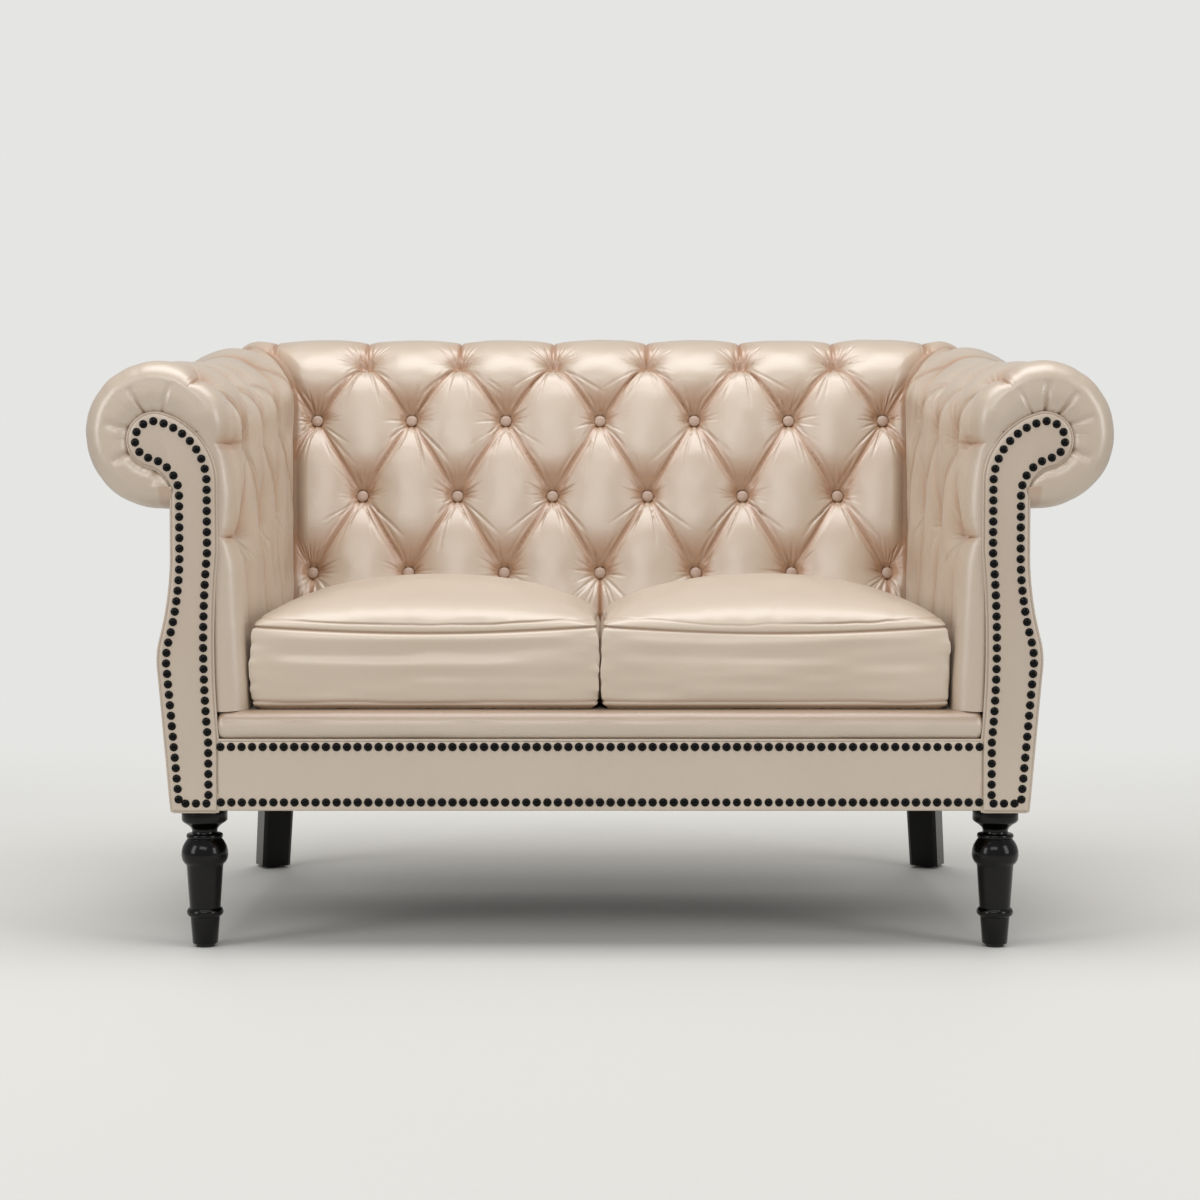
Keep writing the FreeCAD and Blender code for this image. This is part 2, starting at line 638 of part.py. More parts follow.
def core_face(run, y, grow):
    """The boarded side behind the padding, from its foot to the end of the shoulder."""
    radius = number("shoulder_radius") + grow
    roll_z = BACK_ROLL_Z if run == "back" else rise(y)
    foot = (number(CORE_IN) - ROLL_X - grow, DECK)
    if run == "back":
        foot = (BACK_START.foot[0] + number("back_pad_depth") - grow, number("back_foot_height"))
    return Face(foot, (SHOULDER[0], roll_z + SHOULDER[1]), radius)


def arc(centre, radius, start, end, count, outside):
    """Points round an arc, or round the flats that just clear it where outside is set."""
    reach = radius / math.cos((end - start) / count / 2) if outside else radius
    return [(centre[0] + reach * math.cos(angle), centre[1] + reach * math.sin(angle))
            for angle in steps(start, end, count)]


def scroll_curve(run, y, grow, outside=False):
    """The boarded scroll from its shoulder over the head to the neck, as reaches and heights."""
    face = core_face(run, y, grow)
    roll_z = face.centre[1] - SHOULDER[1]
    tip = math.atan2(HEAD[1] - SHOULDER[1], HEAD[0] - SHOULDER[0])
    throat_tip = math.atan2(THROAT[1] - HEAD[1], THROAT[0] - HEAD[0])
    curve = arc(SHOULDER, number("shoulder_radius") + grow, face.start, tip, 3, outside)
    curve += arc(HEAD, number("head_radius") + grow, tip, throat_tip, 5, outside)[1:]
    curve += arc(THROAT, number("throat_radius") - grow, math.pi + throat_tip, math.pi, 2, False)[1:]
    return [(reach, roll_z + height) for reach, height in curve]


class Tufting:
    """Diamond buttoning of a face, as a depth below its crowns at (u, v)."""

    def __init__(self, first, rows, open_front):
        self.first, self.rows, self.open_front = first, rows, open_front
        self.half = number("half_pitch")

    def buttons(self, low, high):
        """(u, v) of each button whose u lies from low to high."""
        found = []
        for index, v in enumerate(self.rows):
            u = self.first + (index % 2) * self.half
            u -= 2 * self.half * math.floor((u - low) / 2 / self.half)
            while u <= high + GAP:
                found.append((u, v))
                u += 2 * self.half
        return found

    def row_of(self, v):
        """Place among the rows, where whole numbers are rows and 0 is the top one."""
        for index in range(len(self.rows) - 1):
            high, low = self.rows[index], self.rows[index + 1]
            if v >= low:
                return index + (high - v) / (high - low)
        return len(self.rows) - 1 + (self.rows[-1] - v) / (self.rows[-2] - self.rows[-1])

    def fullness(self, u, v):
        """How full the cover is: 0 on a pleat and 1 on a crown."""
        across, down = (u - self.first) / self.half, self.row_of(v)
        last = len(self.rows) - 1
        if self.open_front and across < 0:
            return min(2 * abs(down - round(down)), 1) if -1 < down < last + 1 else 1
        if down < 0 or down > last:
            shift = 0 if down < 0 else last % 2
            near = 2 * round((across - shift) / 2) + shift
            return min(abs(across - near), 1)
        column, row = math.floor(across), min(math.floor(down), last - 1)
        along = across - column
        if (column + row) % 2:
            along = 1 - along
        full = abs(along - (down - row))
        if self.open_front and across < 1 and round(down) % 2:
            full = min(full, 2 * abs(down - round(down)))
        return full

    def depth(self, u, v, low, high):
        hollow = number("pleat_depth") * (1 - self.fullness(u, v)) ** 2
        near = min(math.hypot(u - across, v - down) for across, down in self.buttons(low, high))
        return hollow + number("dimple_depth") * max(0, 1 - near / number("dimple_reach")) ** 2


def tuft_rows(top, count):
    return [top] + [top - number("top_row_step") - number("row_step") * index for index in range(count)]


TUFTS = {
    "back": Tufting(number("half_pitch"), tuft_rows(number("back_top_row"), 3), False),
    "arm": Tufting(number("arm_first_column"), tuft_rows(number("arm_top_row"), 2), True),
}

# Steps of each padded face below its lowest row and over its roll: both runs add up alike
CELL = 3
FOOT_STEPS = {"back": 3, "arm": 5}
ROLL_STEPS = {"back": 9, "arm": 7 + CELL}
CORNER_SHARES = (0.3, 0.58, 0.82, 1)
FRONT_SHARES = (0, 0.134, 0.5)
HEADS_FOR = {"back": ROLL_X, "arm": ROLL_Y}
LAST = {"back": 6 * number("half_pitch"), "arm": number("arm_first_column") + 5 * number("half_pitch")}
OTHER = {"back": "arm", "arm": "back"}


def rows_of(run):
    """v of every line of a padded face, from its foot to the end of the roll."""
    face, rows = padded_face(run, ROLL_Y), TUFTS[run].rows
    foot = -face.length - (face.foot[1] - DECK)
    values = steps(foot, rows[-1], FOOT_STEPS[run])
    for index in range(len(rows) - 1, 0, -1):
        values += steps(rows[index], rows[index - 1], CELL)[1:]
    return values + steps(rows[0], ROLL_RADIUS * (face.start + math.pi / 2), ROLL_STEPS[run])[1:]


ROWS = {"back": rows_of("back"), "arm": rows_of("arm")}


def lowered(run, face, v):
    """v on a face of its own length, where the lines below the lowest row share what is left."""
    lowest, base = TUFTS[run].rows[-1], ROWS[run][0]
    foot = -face.length - (face.foot[1] - DECK)
    return v if v >= lowest else lowest + (v - lowest) * (foot - lowest) / (base - lowest)


def plan(run, side, reach, along, turn, height):
    """A point in space: along a run, or turned into its corner where turn is set.

    Along is measured from the middle line of the other run's roll.
    """
    outwards = reach
    if turn:
        outwards = -CORNER + (CORNER + reach) * math.cos(turn)
        along = -CORNER + (CORNER + reach) * math.sin(turn)
    if run == "arm":
        return Vector(side * (ROLL_X + outwards), ROLL_Y + along, height)
    return Vector(side * (ROLL_X + along), ROLL_Y + outwards, height)


def into_corner(run, reach, height, share, other):
    """Along, turn, way gone and way left at a share of the way from a run's last column to the mitre."""
    start = LAST[run] - HEADS_FOR[run]
    stop = -CORNER if reach >= -CORNER else min(other.reach_at(height), -CORNER)
    bend = max(CORNER + reach, 0) * math.pi / 4
    whole = stop - start + bend
    gone = share * whole
    if gone <= stop - start or not bend:
        return start + gone, 0, gone, whole - gone
    return stop, (gone - (stop - start)) / (CORNER + reach), gone, whole - gone


def on_mitre(run, side, reach, height, arm_reach):
    """A point of a section that both runs share where they meet, set back by half their gap."""
    away = GAP / 2 if run == "arm" else -GAP / 2
    shift = Vector(side * away, -away, 0)
    if reach >= -CORNER:
        return plan("back", side, reach, 0, math.pi / 4, height) + shift
    return Vector(side * (ROLL_X + arm_reach), ROLL_Y + reach, height) + shift


def tuck(roll_z, pull):
    """End of a cover below the roll, from its lowest point to the neck, drawn up by a share."""
    low = roll_z - ROLL_RADIUS
    end = (NECK + GAP, low + pull * (ROLL_RADIUS + THROAT[1]))
    return [(NECK / 2, low - GAP + pull * (ROLL_RADIUS + THROAT[1])), (end[0], end[1] - 2 * GAP)]


def cover_column(run, side, u, share=0.0, pull=0.0):
    """One line of a padded cover from its foot to its tuck."""
    tufts, points = TUFTS[run], []
    other = padded_face(OTHER[run], ROLL_Y)
    low, high = min(TUFTS[run].first, -LAST[run]), LAST[run]
    inset = number("front_round") * pull
    for index, v in enumerate(ROWS[run]):
        y = u if run == "arm" else ROLL_Y
        face = padded_face(run, y)
        reach, height, normal = face.at(lowered(run, face, v))
        along, turn, gone, left = u - HEADS_FOR[run], 0, 0, number("fold_reach")
        if share == 1:
            back_reach, back_height, back_normal = BACK_START.at(ROWS["back"][index])
            depth = number("corner_fold")
            arm_reach = padded_face("arm", ROLL_Y).reach_at(back_height) - depth * back_normal[0]
            points.append(on_mitre(run, side, back_reach - depth * back_normal[0],
                                   back_height - depth * back_normal[1], arm_reach))
            continue
        if share:
            along, turn, gone, left = into_corner(run, reach, height, share, other)
            face = padded_face(run, ROLL_Y + along if run == "arm" else ROLL_Y)
            reach, height, normal = face.at(lowered(run, face, v))
        near = min(left / number("fold_reach"), 1)
        depth = tufts.depth(LAST[run] + gone if share else u, v, low, high) * (1 - pull)
        depth = max(depth, number("corner_fold") * (1 - near) ** 2) + inset
        points.append(plan(run, side, reach - depth * normal[0], along, turn, height - depth * normal[1]))
    roll_z = BACK_ROLL_Z if run == "back" or share else rise(u)
    for reach, height in tuck(roll_z, pull):
        if share == 1:
            points.append(on_mitre(run, side, reach, height, reach))
            continue
        along, turn = u - HEADS_FOR[run], 0
        if share:
            along, turn = into_corner(run, reach, height, share, other)[:2]
        points.append(plan(run, side, reach, along, turn, height))
    return points


def core_column(run, side, u, grow, share=0.0, padded=False):
    """One line of the boarded side: with its foot behind padding, or from the shoulder to the flange."""
    def section(section_run, y):
        face = core_face(section_run, y, grow)
        line = [(face.foot[0], DECK), (face.foot[0], number("back_foot_height"))] if padded else []
        line += scroll_curve(section_run, y, grow, padded)
        roll_z = face.centre[1] - SHOULDER[1]
        drop = ROLL_RADIUS if padded else number("flange_drop")
        return line + [(NECK + grow, roll_z - drop)]

    points = []
    other = core_face(OTHER[run], ROLL_Y, grow)
    y = u if run == "arm" else ROLL_Y
    for (reach, height), (back_reach, back_height) in zip(section(run, y), section("back", ROLL_Y)):
        if share == 1:
            arm_reach = core_face("arm", ROLL_Y, grow).reach_at(back_height)
            points.append(on_mitre(run, side, back_reach, back_height, arm_reach))
            continue
        along, turn = u - HEADS_FOR[run], 0
        if share:
            along, turn = into_corner(run, reach, height, share, other)[:2]
        points.append(plan(run, side, reach, along, turn, height))
    return points


def columns(run, side, line, regular):
    """Lines across a run: the arm's from its front to the mitre, the back's from mitre to mitre."""
    if run == "arm":
        return [line(side, u, 0) for u in regular] + [line(side, ROLL_Y, share) for share in CORNER_SHARES]
    ends = [[line(way, 0, share) for share in CORNER_SHARES] for way in (-1, 1)]
    return ends[0][::-1] + [line(1, u, 0) for u in regular] + ends[1]


def regular_columns(run):
    """Places of the cover's lines along a run, a few to each half pitch."""
    if run == "back":
        return steps(-LAST[run], LAST[run], 12 * CELL)
    return steps(TUFTS[run].first, LAST[run], 5 * CELL)


def former_places():
    """Places of the boarded scroll's lines along an arm, from the back of its stump."""
    return steps(number(STUMP_BACK), LAST["arm"], 3)


# Tufted pads: stuffing and cover of the inside back and of both inside arms
def pads():
    def back_line(side, u, share):
        return cover_column("back", side, u, share)

    def core_line(run):
        return lambda side, u, share: core_column(run, side, u, GAP, share, True)

    cover = columns("back", 1, back_line, regular_columns("back"))
    core = columns("back", 1, core_line("back"), (-LAST["back"], LAST["back"]))
    feature("inside_back_pad", slab(cover, core))
    front = number("front_round")
    for name, side in SIDES:
        cover = [cover_column("arm", side, PAD_FRONT + front * share, 0, 1 - math.sqrt(1 - (1 - share) ** 2))
                 for share in FRONT_SHARES]
        cover += [cover_column("arm", side, u) for u in steps(PAD_FRONT + front, TUFTS["arm"].first, 2)[:-1]]
        cover += [cover_column("arm", side, u) for u in regular_columns("arm")]
        cover += [cover_column("arm", side, ROLL_Y, share) for share in CORNER_SHARES]
        core = columns("arm", side, core_line("arm"), [PAD_FRONT] + former_places())
        feature(f"inside_arm_pad_{name}", slab(cover, core))


pads()


# Scroll formers: bent panels that carry the rolls, mitred at the corners
def formers():
    thick = number("former_thick")

    def skin(run, side, grow, places):
        return columns(run, side, lambda way, u, share: core_column(run, way, u, grow, share), places)

    for name, side in SIDES:
        places = former_places()
        inner = skin("arm", side, -thick, places)
        feature(f"arm_scroll_former_{name}", slab(skin("arm", side, 0, places), inner))
    places = (-LAST["back"], LAST["back"])
    feature("back_scroll_former", slab(skin("back", 1, 0, places), skin("back", 1, -thick, places)))


formers()


# Back frame: four ribs that stand on the rear rail and lean as the back does
BACK_RISE = "(back_height - arm_height)"
SHOULDER_Y = f"({ROLL_BACK} + shoulder_out)"
SHOULDER_UP = f"({SHOULDER_Z} + {BACK_RISE})"
CORE_FOOT = "(back_foot + back_pad_depth)"
CORE_WIDE = f"({SHOULDER_Y} - {CORE_FOOT})"
CORE_HIGH = f"({SHOULDER_UP} - back_foot_height)"
LEAN = f"(atan({CORE_WIDE} / {CORE_HIGH}) - asin(shoulder_radius / sqrt({CORE_WIDE}^2 + {CORE_HIGH}^2)))"


def shifted(corner, in_by):
    """A place on the arm's scroll moved onto the back's, drawn in towards a given middle."""
    (across, up), (middle_across, middle_up), radius = corner
    across, middle_across = (f"({value} - {ROLL_OUT} + {ROLL_BACK})" for value in (across, middle_across))
    up, middle_up = f"({up} + {BACK_RISE})", f"({middle_up} + {BACK_RISE})"
    return towards(across, middle_across, in_by, radius), towards(up, middle_up, in_by, radius)


def rib_outline():
    thick = "(former_thick + rib_ease)"
    tip = shifted((SHOULDER_TIP, (HEAD_X, HEAD_Z), "head_radius"), thick)
    head_top = shifted(((HEAD_X, f"({HEAD_Z} + head_radius)"), (HEAD_X, HEAD_Z), "head_radius"), thick)
    head_side = shifted(((f"({HEAD_X} + head_radius)", HEAD_Z), (HEAD_X, HEAD_Z), "head_radius"), thick)
    throat = shifted((THROAT_TIP, (HEAD_X, HEAD_Z), "head_radius"), thick)
    neck = f"({BACK_PLANE} - {thick})"
    ledge = "(back_height - roll_radius - flange_drop)"
    start = [(f"({SHOULDER_Y} - ({radius}) * cos({LEAN}))", f"({SHOULDER_UP} + ({radius}) * sin({LEAN}))")
             for radius in ("shoulder_radius - strap_thick", f"shoulder_radius - {thick}")]
    return [
        (BACK_PLANE, RAIL_TOP),
        (REAR_IN, RAIL_TOP),
        (f"({CORE_FOOT} + strap_thick / cos({LEAN}))", DECK_TOP),
        (f"({CORE_FOOT} + strap_thick / cos({LEAN}))", "back_foot_height"),
        start[0],
        start[1],
        (*tip, f"shoulder_radius - {thick}", -1),
        head_top,
        head_side,
        throat,
        (neck, f"({THROAT_Z} + {BACK_RISE})", f"throat_radius + {thick}", 1),
        (neck, ledge),
        (BACK_PLANE, ledge),
    ]


def back_frame():
    for name, side in SIDES:
        places = {"outer": f"({CORE_IN} - board)", "inner": "(rib_spread - board / 2)"}
        for which, inner in places.items():
            left = inner if side > 0 else f"(-{inner} - board)"
            board_part(f"back_rib_{which}_{name}", "YZ_Plane", left, "board", rib_outline())


back_frame()


# Webbing: straps nailed across the ribs of the back and up the inside of the arms
def webbing():
    face = core_face("back", ROLL_Y, 0)
    wide, thick = number("strap_width"), number("strap_thick")
    along = Vector(0, math.sin(face.lean), math.cos(face.lean))
    behind = Vector(0, math.cos(face.lean), -math.sin(face.lean))
    foot = Vector(-number(CORE_IN), ROLL_Y + face.foot[0], face.foot[1])
    straps = []
    for share in STRAP_SHARES:
        low = foot + along * (share * face.length)
        ring = [low, low + along * wide, low + along * wide + behind * thick, low + behind * thick, low]
        straps.append(Part.Face(Part.makePolygon(ring)).extrude(Vector(2 * number(CORE_IN), 0, 0)))
    feature("back_webbing", Part.makeCompound(straps))
    for name, side in SIDES:
        straps = []
        for front in steps(number(STUMP_BACK) + wide, number("deck_rear") - wide, 4):
            tops = [rise(y) + SHOULDER[1] for y in (front, front + wide)]
            inner = side * number(CORE_IN)
            ring = [Vector(inner, front, number(DECK_TOP)), Vector(inner, front + wide, number(DECK_TOP)),
                    Vector(inner, front + wide, tops[1]), Vector(inner, front, tops[0])]
            straps.append(Part.Face(Part.makePolygon(ring + ring[:1])).extrude(Vector(side * thick, 0, 0)))
        feature(f"arm_webbing_{name}", Part.makeCompound(straps))


webbing()


# Outside covers: thin panels over the arms and the back, up to the underside of the roll
def bent(start, end, radius, turn, count):
    """Points after start along an arc to end."""
    wide, high = end[0] - start[0], end[1] - start[1]
    chord = math.hypot(wide, high)
    reach = math.sqrt(max(radius ** 2 - chord ** 2 / 4, 0)) / chord * turn
    middle = ((start[0] + end[0]) / 2 - high * reach, (start[1] + end[1]) / 2 + wide * reach)
    first = math.atan2(start[1] - middle[1], start[0] - middle[0])
    last = math.atan2(end[1] - middle[1], end[0] - middle[0])
    last += 2 * math.pi * (turn * (last - first) < 0) * turn
    return arc(middle, radius, first, last, count, False)[1:]


def side_outline(grow, top):
    """The outside of an arm from its base over the knee to the neck, as half widths and heights."""
    knee = (number("knee_half") + grow, number("knee_low"))
    knee_high = (number("knee_high_half") + grow, number("knee_high"))
    neck = (number("neck_half") + grow, number(NECK_TOP))
    line = [(number("base_half") + grow, number("leg_height")), knee]
    line += bent(knee, knee_high, number("knee_radius"), 1, 3)
    line += bent(knee_high, neck, number("flare_radius"), -1, 3)
    return line + [(number("neck_half") + grow, top)]


def outside_covers():
    near, far = GAP, GAP + number("panel_thick")
    drop = number("panel_drop")
    for name, side in SIDES:
        grids = [[[Vector(side * half, y, height) for half, height in side_outline(grow, rise(y) - drop)]
                  for y in steps(number(FACING_BACK), number(BACK_PLANE), 5)] for grow in (far, near)]
        feature(f"outside_arm_panel_{name}", slab(*grids))
    right = side_outline(far, BACK_ROLL_Z - drop)
    ring = [Vector(half, number(BACK_PLANE), height) for half, height in right]
    ring += [Vector(-half, number(BACK_PLANE), height) for half, height in right[::-1]]
    panel = Part.Face(Part.makePolygon(ring + ring[:1])).extrude(Vector(0, number("panel_thick"), 0))
    feature("outside_back_panel", panel)


outside_covers()


# Buttons and nails: small turned pieces, faceted
def buttons():
    radius, thick = number("button_radius"), number("button_thick")
    rings = [(radius / 2, -thick / 2), (radius, thick / 4), (0, thick / 2)]
    sunk = number("pleat_depth") + number("dimple_depth") - number("button_lift")

    def button(run, side, u, v):
        """A button at the bottom of its dimple, a little lower where the back's roll curves away."""
        depth = sunk + (run == "back" and v > 0) * radius ** 2 / 2 / ROLL_RADIUS
        reach, height, normal = padded_face(run, u if run == "arm" else ROLL_Y).at(v)
        along = u - HEADS_FOR[run]
        seat = plan(run, side, reach - depth * normal[0], along, 0, height - depth * normal[1])
        tip = plan(run, side, reach, along, 0, height)
        return turned(seat, tip - seat, rings, BUTTON_SIDES)

    span = LAST["back"]
    feature("back_buttons", Part.makeCompound(
        [button("back", 1, u, v) for u, v in TUFTS["back"].buttons(-span, span)]))
    for name, side in SIDES:
        places = TUFTS["arm"].buttons(TUFTS["arm"].first, LAST["arm"])
        feature(f"arm_buttons_{name}", Part.makeCompound([button("arm", side, u, v) for u, v in places]))


buttons()


def nails():
    radius, pitch, inset = number("nail_radius"), number("nail_pitch"), number("nail_inset")
    nail = turned(Vector(), (0, -1, 0), [(radius, 0), (0, number("nail_height"))], NAIL_SIDES)

    def row(places, face):
        return Part.makeCompound([nail.translated(Vector(x, face, z)) for x, z in places])

    half = number(CORE_IN) - radius
    across = steps(-half, half, round(2 * half / pitch))
    heights = (number("leg_height") + number("low_nail_rise"), number(RAIL_TOP) - number("high_nail_drop"))
    apron_face = number(FRONT) + number("apron_recess")
    feature("apron_nails", row([(x, z) for z in heights for x in across], apron_face))
    for name, side in SIDES:
        outline = [body for body in doc.Objects if body.Name == f"arm_facing_{name}_sketch"][0].Shape
        path = Part.Wire(Part.__sortEdges__(outline.Edges)).makeOffset2D(-inset)
        count = round(path.Length / pitch)
        points = path.discretize(Number=count + 1)[:-1]
        feature(f"facing_nails_{name}", row([(point.x, point.z) for point in points], number(FRONT)))


nails()


# Seat cushions: loose, boxed, crowned, each a leather cover over its filling
CUSHION_STEPS = 8


def cushion_solid(side, inset):
    """The cushion's outer form drawn in by inset all round, as a closed solid."""
    left, right = number("cushion_inner") + inset, number("cushion_outer") - inset
    front = number(FRONT) + number("cushion_front") + inset
    rear = number("back_foot") - number("cushion_back_gap") - inset
    low, high = DECK + inset, DECK + number("seam_height") - inset / 2
    crown = number("cushion_crown") - inset / 2
    bow, bulge = number("cushion_bow"), number("cushion_bulge")
    shares = [(1 - math.cos(math.pi * share)) / 2 for share in steps(0, 1, CUSHION_STEPS)]

    def at(across, deep, height, out=0.0):
        drawn = bow - out
        x = left + (right - left) * across + drawn * math.sin(math.pi * deep) * (1 - 2 * across)
        y = front + (rear - front) * deep + drawn * math.sin(math.pi * across) * (1 - 2 * deep)
        return Vector(side * x, y, height)

    def full(across, deep):
        """How full the top is: 0 along its seam and 1 in its middle."""
        if across in (0, 1) or deep in (0, 1):
            return 0
        return math.sqrt(math.sin(math.pi * across) * math.sin(math.pi * deep))

    top = [[at(a, d, high + crown * full(a, d)) for d in shares] for a in shares]
    rim = [(a, 0) for a in shares[:-1]] + [(1, d) for d in shares[:-1]]
    rim += [(a, 1) for a in shares[:0:-1]] + [(0, d) for d in shares[:0:-1]]
    loops = [[at(a, d, height, out) for a, d in rim + rim[:1]]
             for height, out in ((low, 0), ((low + high) / 2, bulge), (high, 0))]
    faces = net(top)
    for lower, upper in zip(loops, loops[1:]):
        for k in range(len(rim)):
            faces.append(triangle(lower[k], lower[k + 1], upper[k + 1]))
            faces.append(triangle(lower[k], upper[k + 1], upper[k]))
    middle = at(0.5, 0.5, low)
    faces += [triangle(middle, loops[0][k], loops[0][k + 1]) for k in range(len(rim))]
    return solid_of(faces)


def cushions():
    leather = number("leather")
    for name, side in SIDES:
        feature(f"seat_cushion_cover_{name}", cushion_solid(side, 0).cut(cushion_solid(side, leather)))
        feature(f"seat_cushion_core_{name}", cushion_solid(side, leather + GAP))


cushions()


# Check every object, then write one file for each sub-part
doc.recompute()
for thing in doc.Objects:
    if {"Invalid", "Error"} & set(thing.State):
        raise RuntimeError(f"{thing.Name} failed: {thing.State}")
for part in PARTS:
    if part.Shape.isNull() or not part.Shape.isValid() or not part.Shape.Solids:
        raise RuntimeError(f"{part.Label} has no valid solid")
os.makedirs("parts", exist_ok=True)
for part in PARTS:
    part.Shape.exportStep(f"parts/{part.Label}.step")
print(len(PARTS), "sub-parts")
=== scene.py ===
import json
import math

import bmesh
import bpy
import numpy as np
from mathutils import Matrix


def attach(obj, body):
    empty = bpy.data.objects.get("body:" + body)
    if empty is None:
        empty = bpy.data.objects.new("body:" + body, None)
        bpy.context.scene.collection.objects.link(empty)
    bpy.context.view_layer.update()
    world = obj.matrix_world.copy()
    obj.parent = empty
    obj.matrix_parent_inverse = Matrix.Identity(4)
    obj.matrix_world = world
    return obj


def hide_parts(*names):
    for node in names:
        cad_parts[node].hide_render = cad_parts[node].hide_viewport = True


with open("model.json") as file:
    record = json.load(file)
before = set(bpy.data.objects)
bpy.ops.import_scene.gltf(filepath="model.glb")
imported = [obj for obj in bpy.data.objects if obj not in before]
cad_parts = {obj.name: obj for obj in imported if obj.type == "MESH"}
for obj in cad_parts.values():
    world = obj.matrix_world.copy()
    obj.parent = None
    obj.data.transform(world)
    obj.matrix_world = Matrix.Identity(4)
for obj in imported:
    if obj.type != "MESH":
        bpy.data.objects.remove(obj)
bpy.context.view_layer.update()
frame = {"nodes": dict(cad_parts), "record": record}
SIDES = (("left", -1), ("right", 1))


# Camera: 3 m in front of the settee, at the eye height of somebody crouching, with a long lens
# that looks down by a couple of degrees.
LENS_MM, SENSOR_MM, CAMERA_AT, LOOKS_DOWN = 64.53, 36, (0, -3.43, 0.596), 1.94


def placed(name, data):
    """A new object of this data in the scene."""
    made = bpy.data.objects.new(name, data)
    bpy.context.scene.collection.objects.link(made)
    return made


camera = placed("camera", bpy.data.cameras.new("camera"))
camera.data.lens, camera.data.sensor_width = LENS_MM, SENSOR_MM
camera.location = CAMERA_AT
camera.rotation_euler = (math.radians(90 - LOOKS_DOWN), 0, 0)
bpy.context.scene.camera = camera


# Studio: a pale floor that runs into a pale backdrop, one large soft lamp overhead, weaker ones
# in front and at the sides, and one behind that keeps the rear out of the dark.
def hue(code, alpha=1.0):
    """An sRGB hex colour as linear light."""
    parts = [int(code[at:at + 2], 16) / 255 for at in (1, 3, 5)]
    return tuple(p / 12.92 if p <= 0.04045 else ((p + 0.055) / 1.055) ** 2.4 for p in parts) + (alpha,)


def add(tree, kind, inputs=None, **settings):
    """A node with its settings; each input is a plain value or another node's output."""
    made = tree.nodes.new(kind)
    for name, value in settings.items():
        setattr(made, name, value)
    for name, value in (inputs or {}).items():
        if isinstance(value, bpy.types.NodeSocket):
            tree.links.new(value, made.inputs[name])
        else:
            made.inputs[name].default_value = value
    return made


def new_material(name):
    """An empty node material with its output."""
    material = bpy.data.materials.new(name)
    material.use_nodes = True
    material.node_tree.nodes.clear()
    return material, material.node_tree, material.node_tree.nodes.new("ShaderNodeOutputMaterial")


BACKDROP, FLOOR_NEAR, AMBIENT, AMBIENT_LEVEL = "#E5E5E3", "#DCDBD7", "#F4F4F4", 0.44
FLOOR_HALF, FADE_FROM, FADE_TO = 9.0, 0.9, 3.2
world = bpy.data.worlds.new("studio")
bpy.context.scene.world = world
world.use_nodes = True
tree = world.node_tree
tree.nodes.clear()
paths = add(tree, "ShaderNodeLightPath")
seen = add(tree, "ShaderNodeMath", {0: paths.outputs["Is Camera Ray"],
                                    1: paths.outputs["Is Transmission Ray"]}, operation="MAXIMUM")
shown = add(tree, "ShaderNodeBackground", {"Color": hue(BACKDROP), "Strength": 1.0})
lit = add(tree, "ShaderNodeBackground", {"Color": hue(AMBIENT), "Strength": AMBIENT_LEVEL})
mixed = add(tree, "ShaderNodeMixShader", {0: seen.outputs[0], 1: lit.outputs[0], 2: shown.outputs[0]})
tree.links.new(mixed.outputs[0], add(tree, "ShaderNodeOutputWorld").inputs[0])

floor_mesh = bpy.data.meshes.new("floor")
corners = [(x * FLOOR_HALF, y * FLOOR_HALF, 0) for x, y in ((-1, -1), (1, -1), (1, 1), (-1, 1))]
floor_mesh.from_pydata(corners, [], [(0, 1, 2, 3)])
floor = placed("floor", floor_mesh)
floor_paint, tree, out = new_material("matt studio floor")
matt = add(tree, "ShaderNodeBsdfDiffuse", {"Color": hue(FLOOR_NEAR)})
clear = add(tree, "ShaderNodeBsdfTransparent")
place = add(tree, "ShaderNodeTexCoord")
reach = add(tree, "ShaderNodeVectorMath", {0: place.outputs["Object"]}, operation="LENGTH")
fade = add(tree, "ShaderNodeMapRange", {"Value": reach.outputs["Value"], "From Min": FADE_FROM,
                                        "From Max": FADE_TO}, interpolation_type="SMOOTHSTEP")
mixed = add(tree, "ShaderNodeMixShader", {0: fade.outputs[0], 1: matt.outputs[0], 2: clear.outputs[0]})
tree.links.new(mixed.outputs[0], out.inputs[0])
floor_mesh.materials.append(floor_paint)

LAMPS = (
    # name, place, aimed at, width, depth, watts
    ("overhead", (0.0, -0.5, 3.2), (0.0, 0.0, 0.4), 3.2, 1.8, 59),
    ("front_high", (-0.5, -3.6, 2.6), (0.0, 0.0, 0.5), 2.4, 0.9, 22),
    ("side_left", (-2.9, -2.2, 1.5), (0.0, 0.0, 0.6), 1.0, 2.0, 25),
    ("side_right", (2.9, -2.2, 1.5), (0.0, 0.0, 0.6), 1.0, 2.0, 24),
    ("rear_high", (0.0, 3.2, 1.9), (0.0, 0.6, 0.0), 4.6, 1.2, 46),
)
for name, spot, aim, wide, deep, watts in LAMPS:
    lamp = bpy.data.lights.new(name, "AREA")
    lamp.shape, lamp.size, lamp.size_y, lamp.energy = "RECTANGLE", wide, deep, watts
    held = placed(name, lamp)
    held.location = spot
    x, y, z = np.array(aim) - np.array(spot)
    held.rotation_euler = (math.atan2(math.hypot(x, y), -z), 0, math.atan2(y, x) - math.pi / 2)
    held.visible_camera = False
    held.visible_glossy = name != "rear_high"


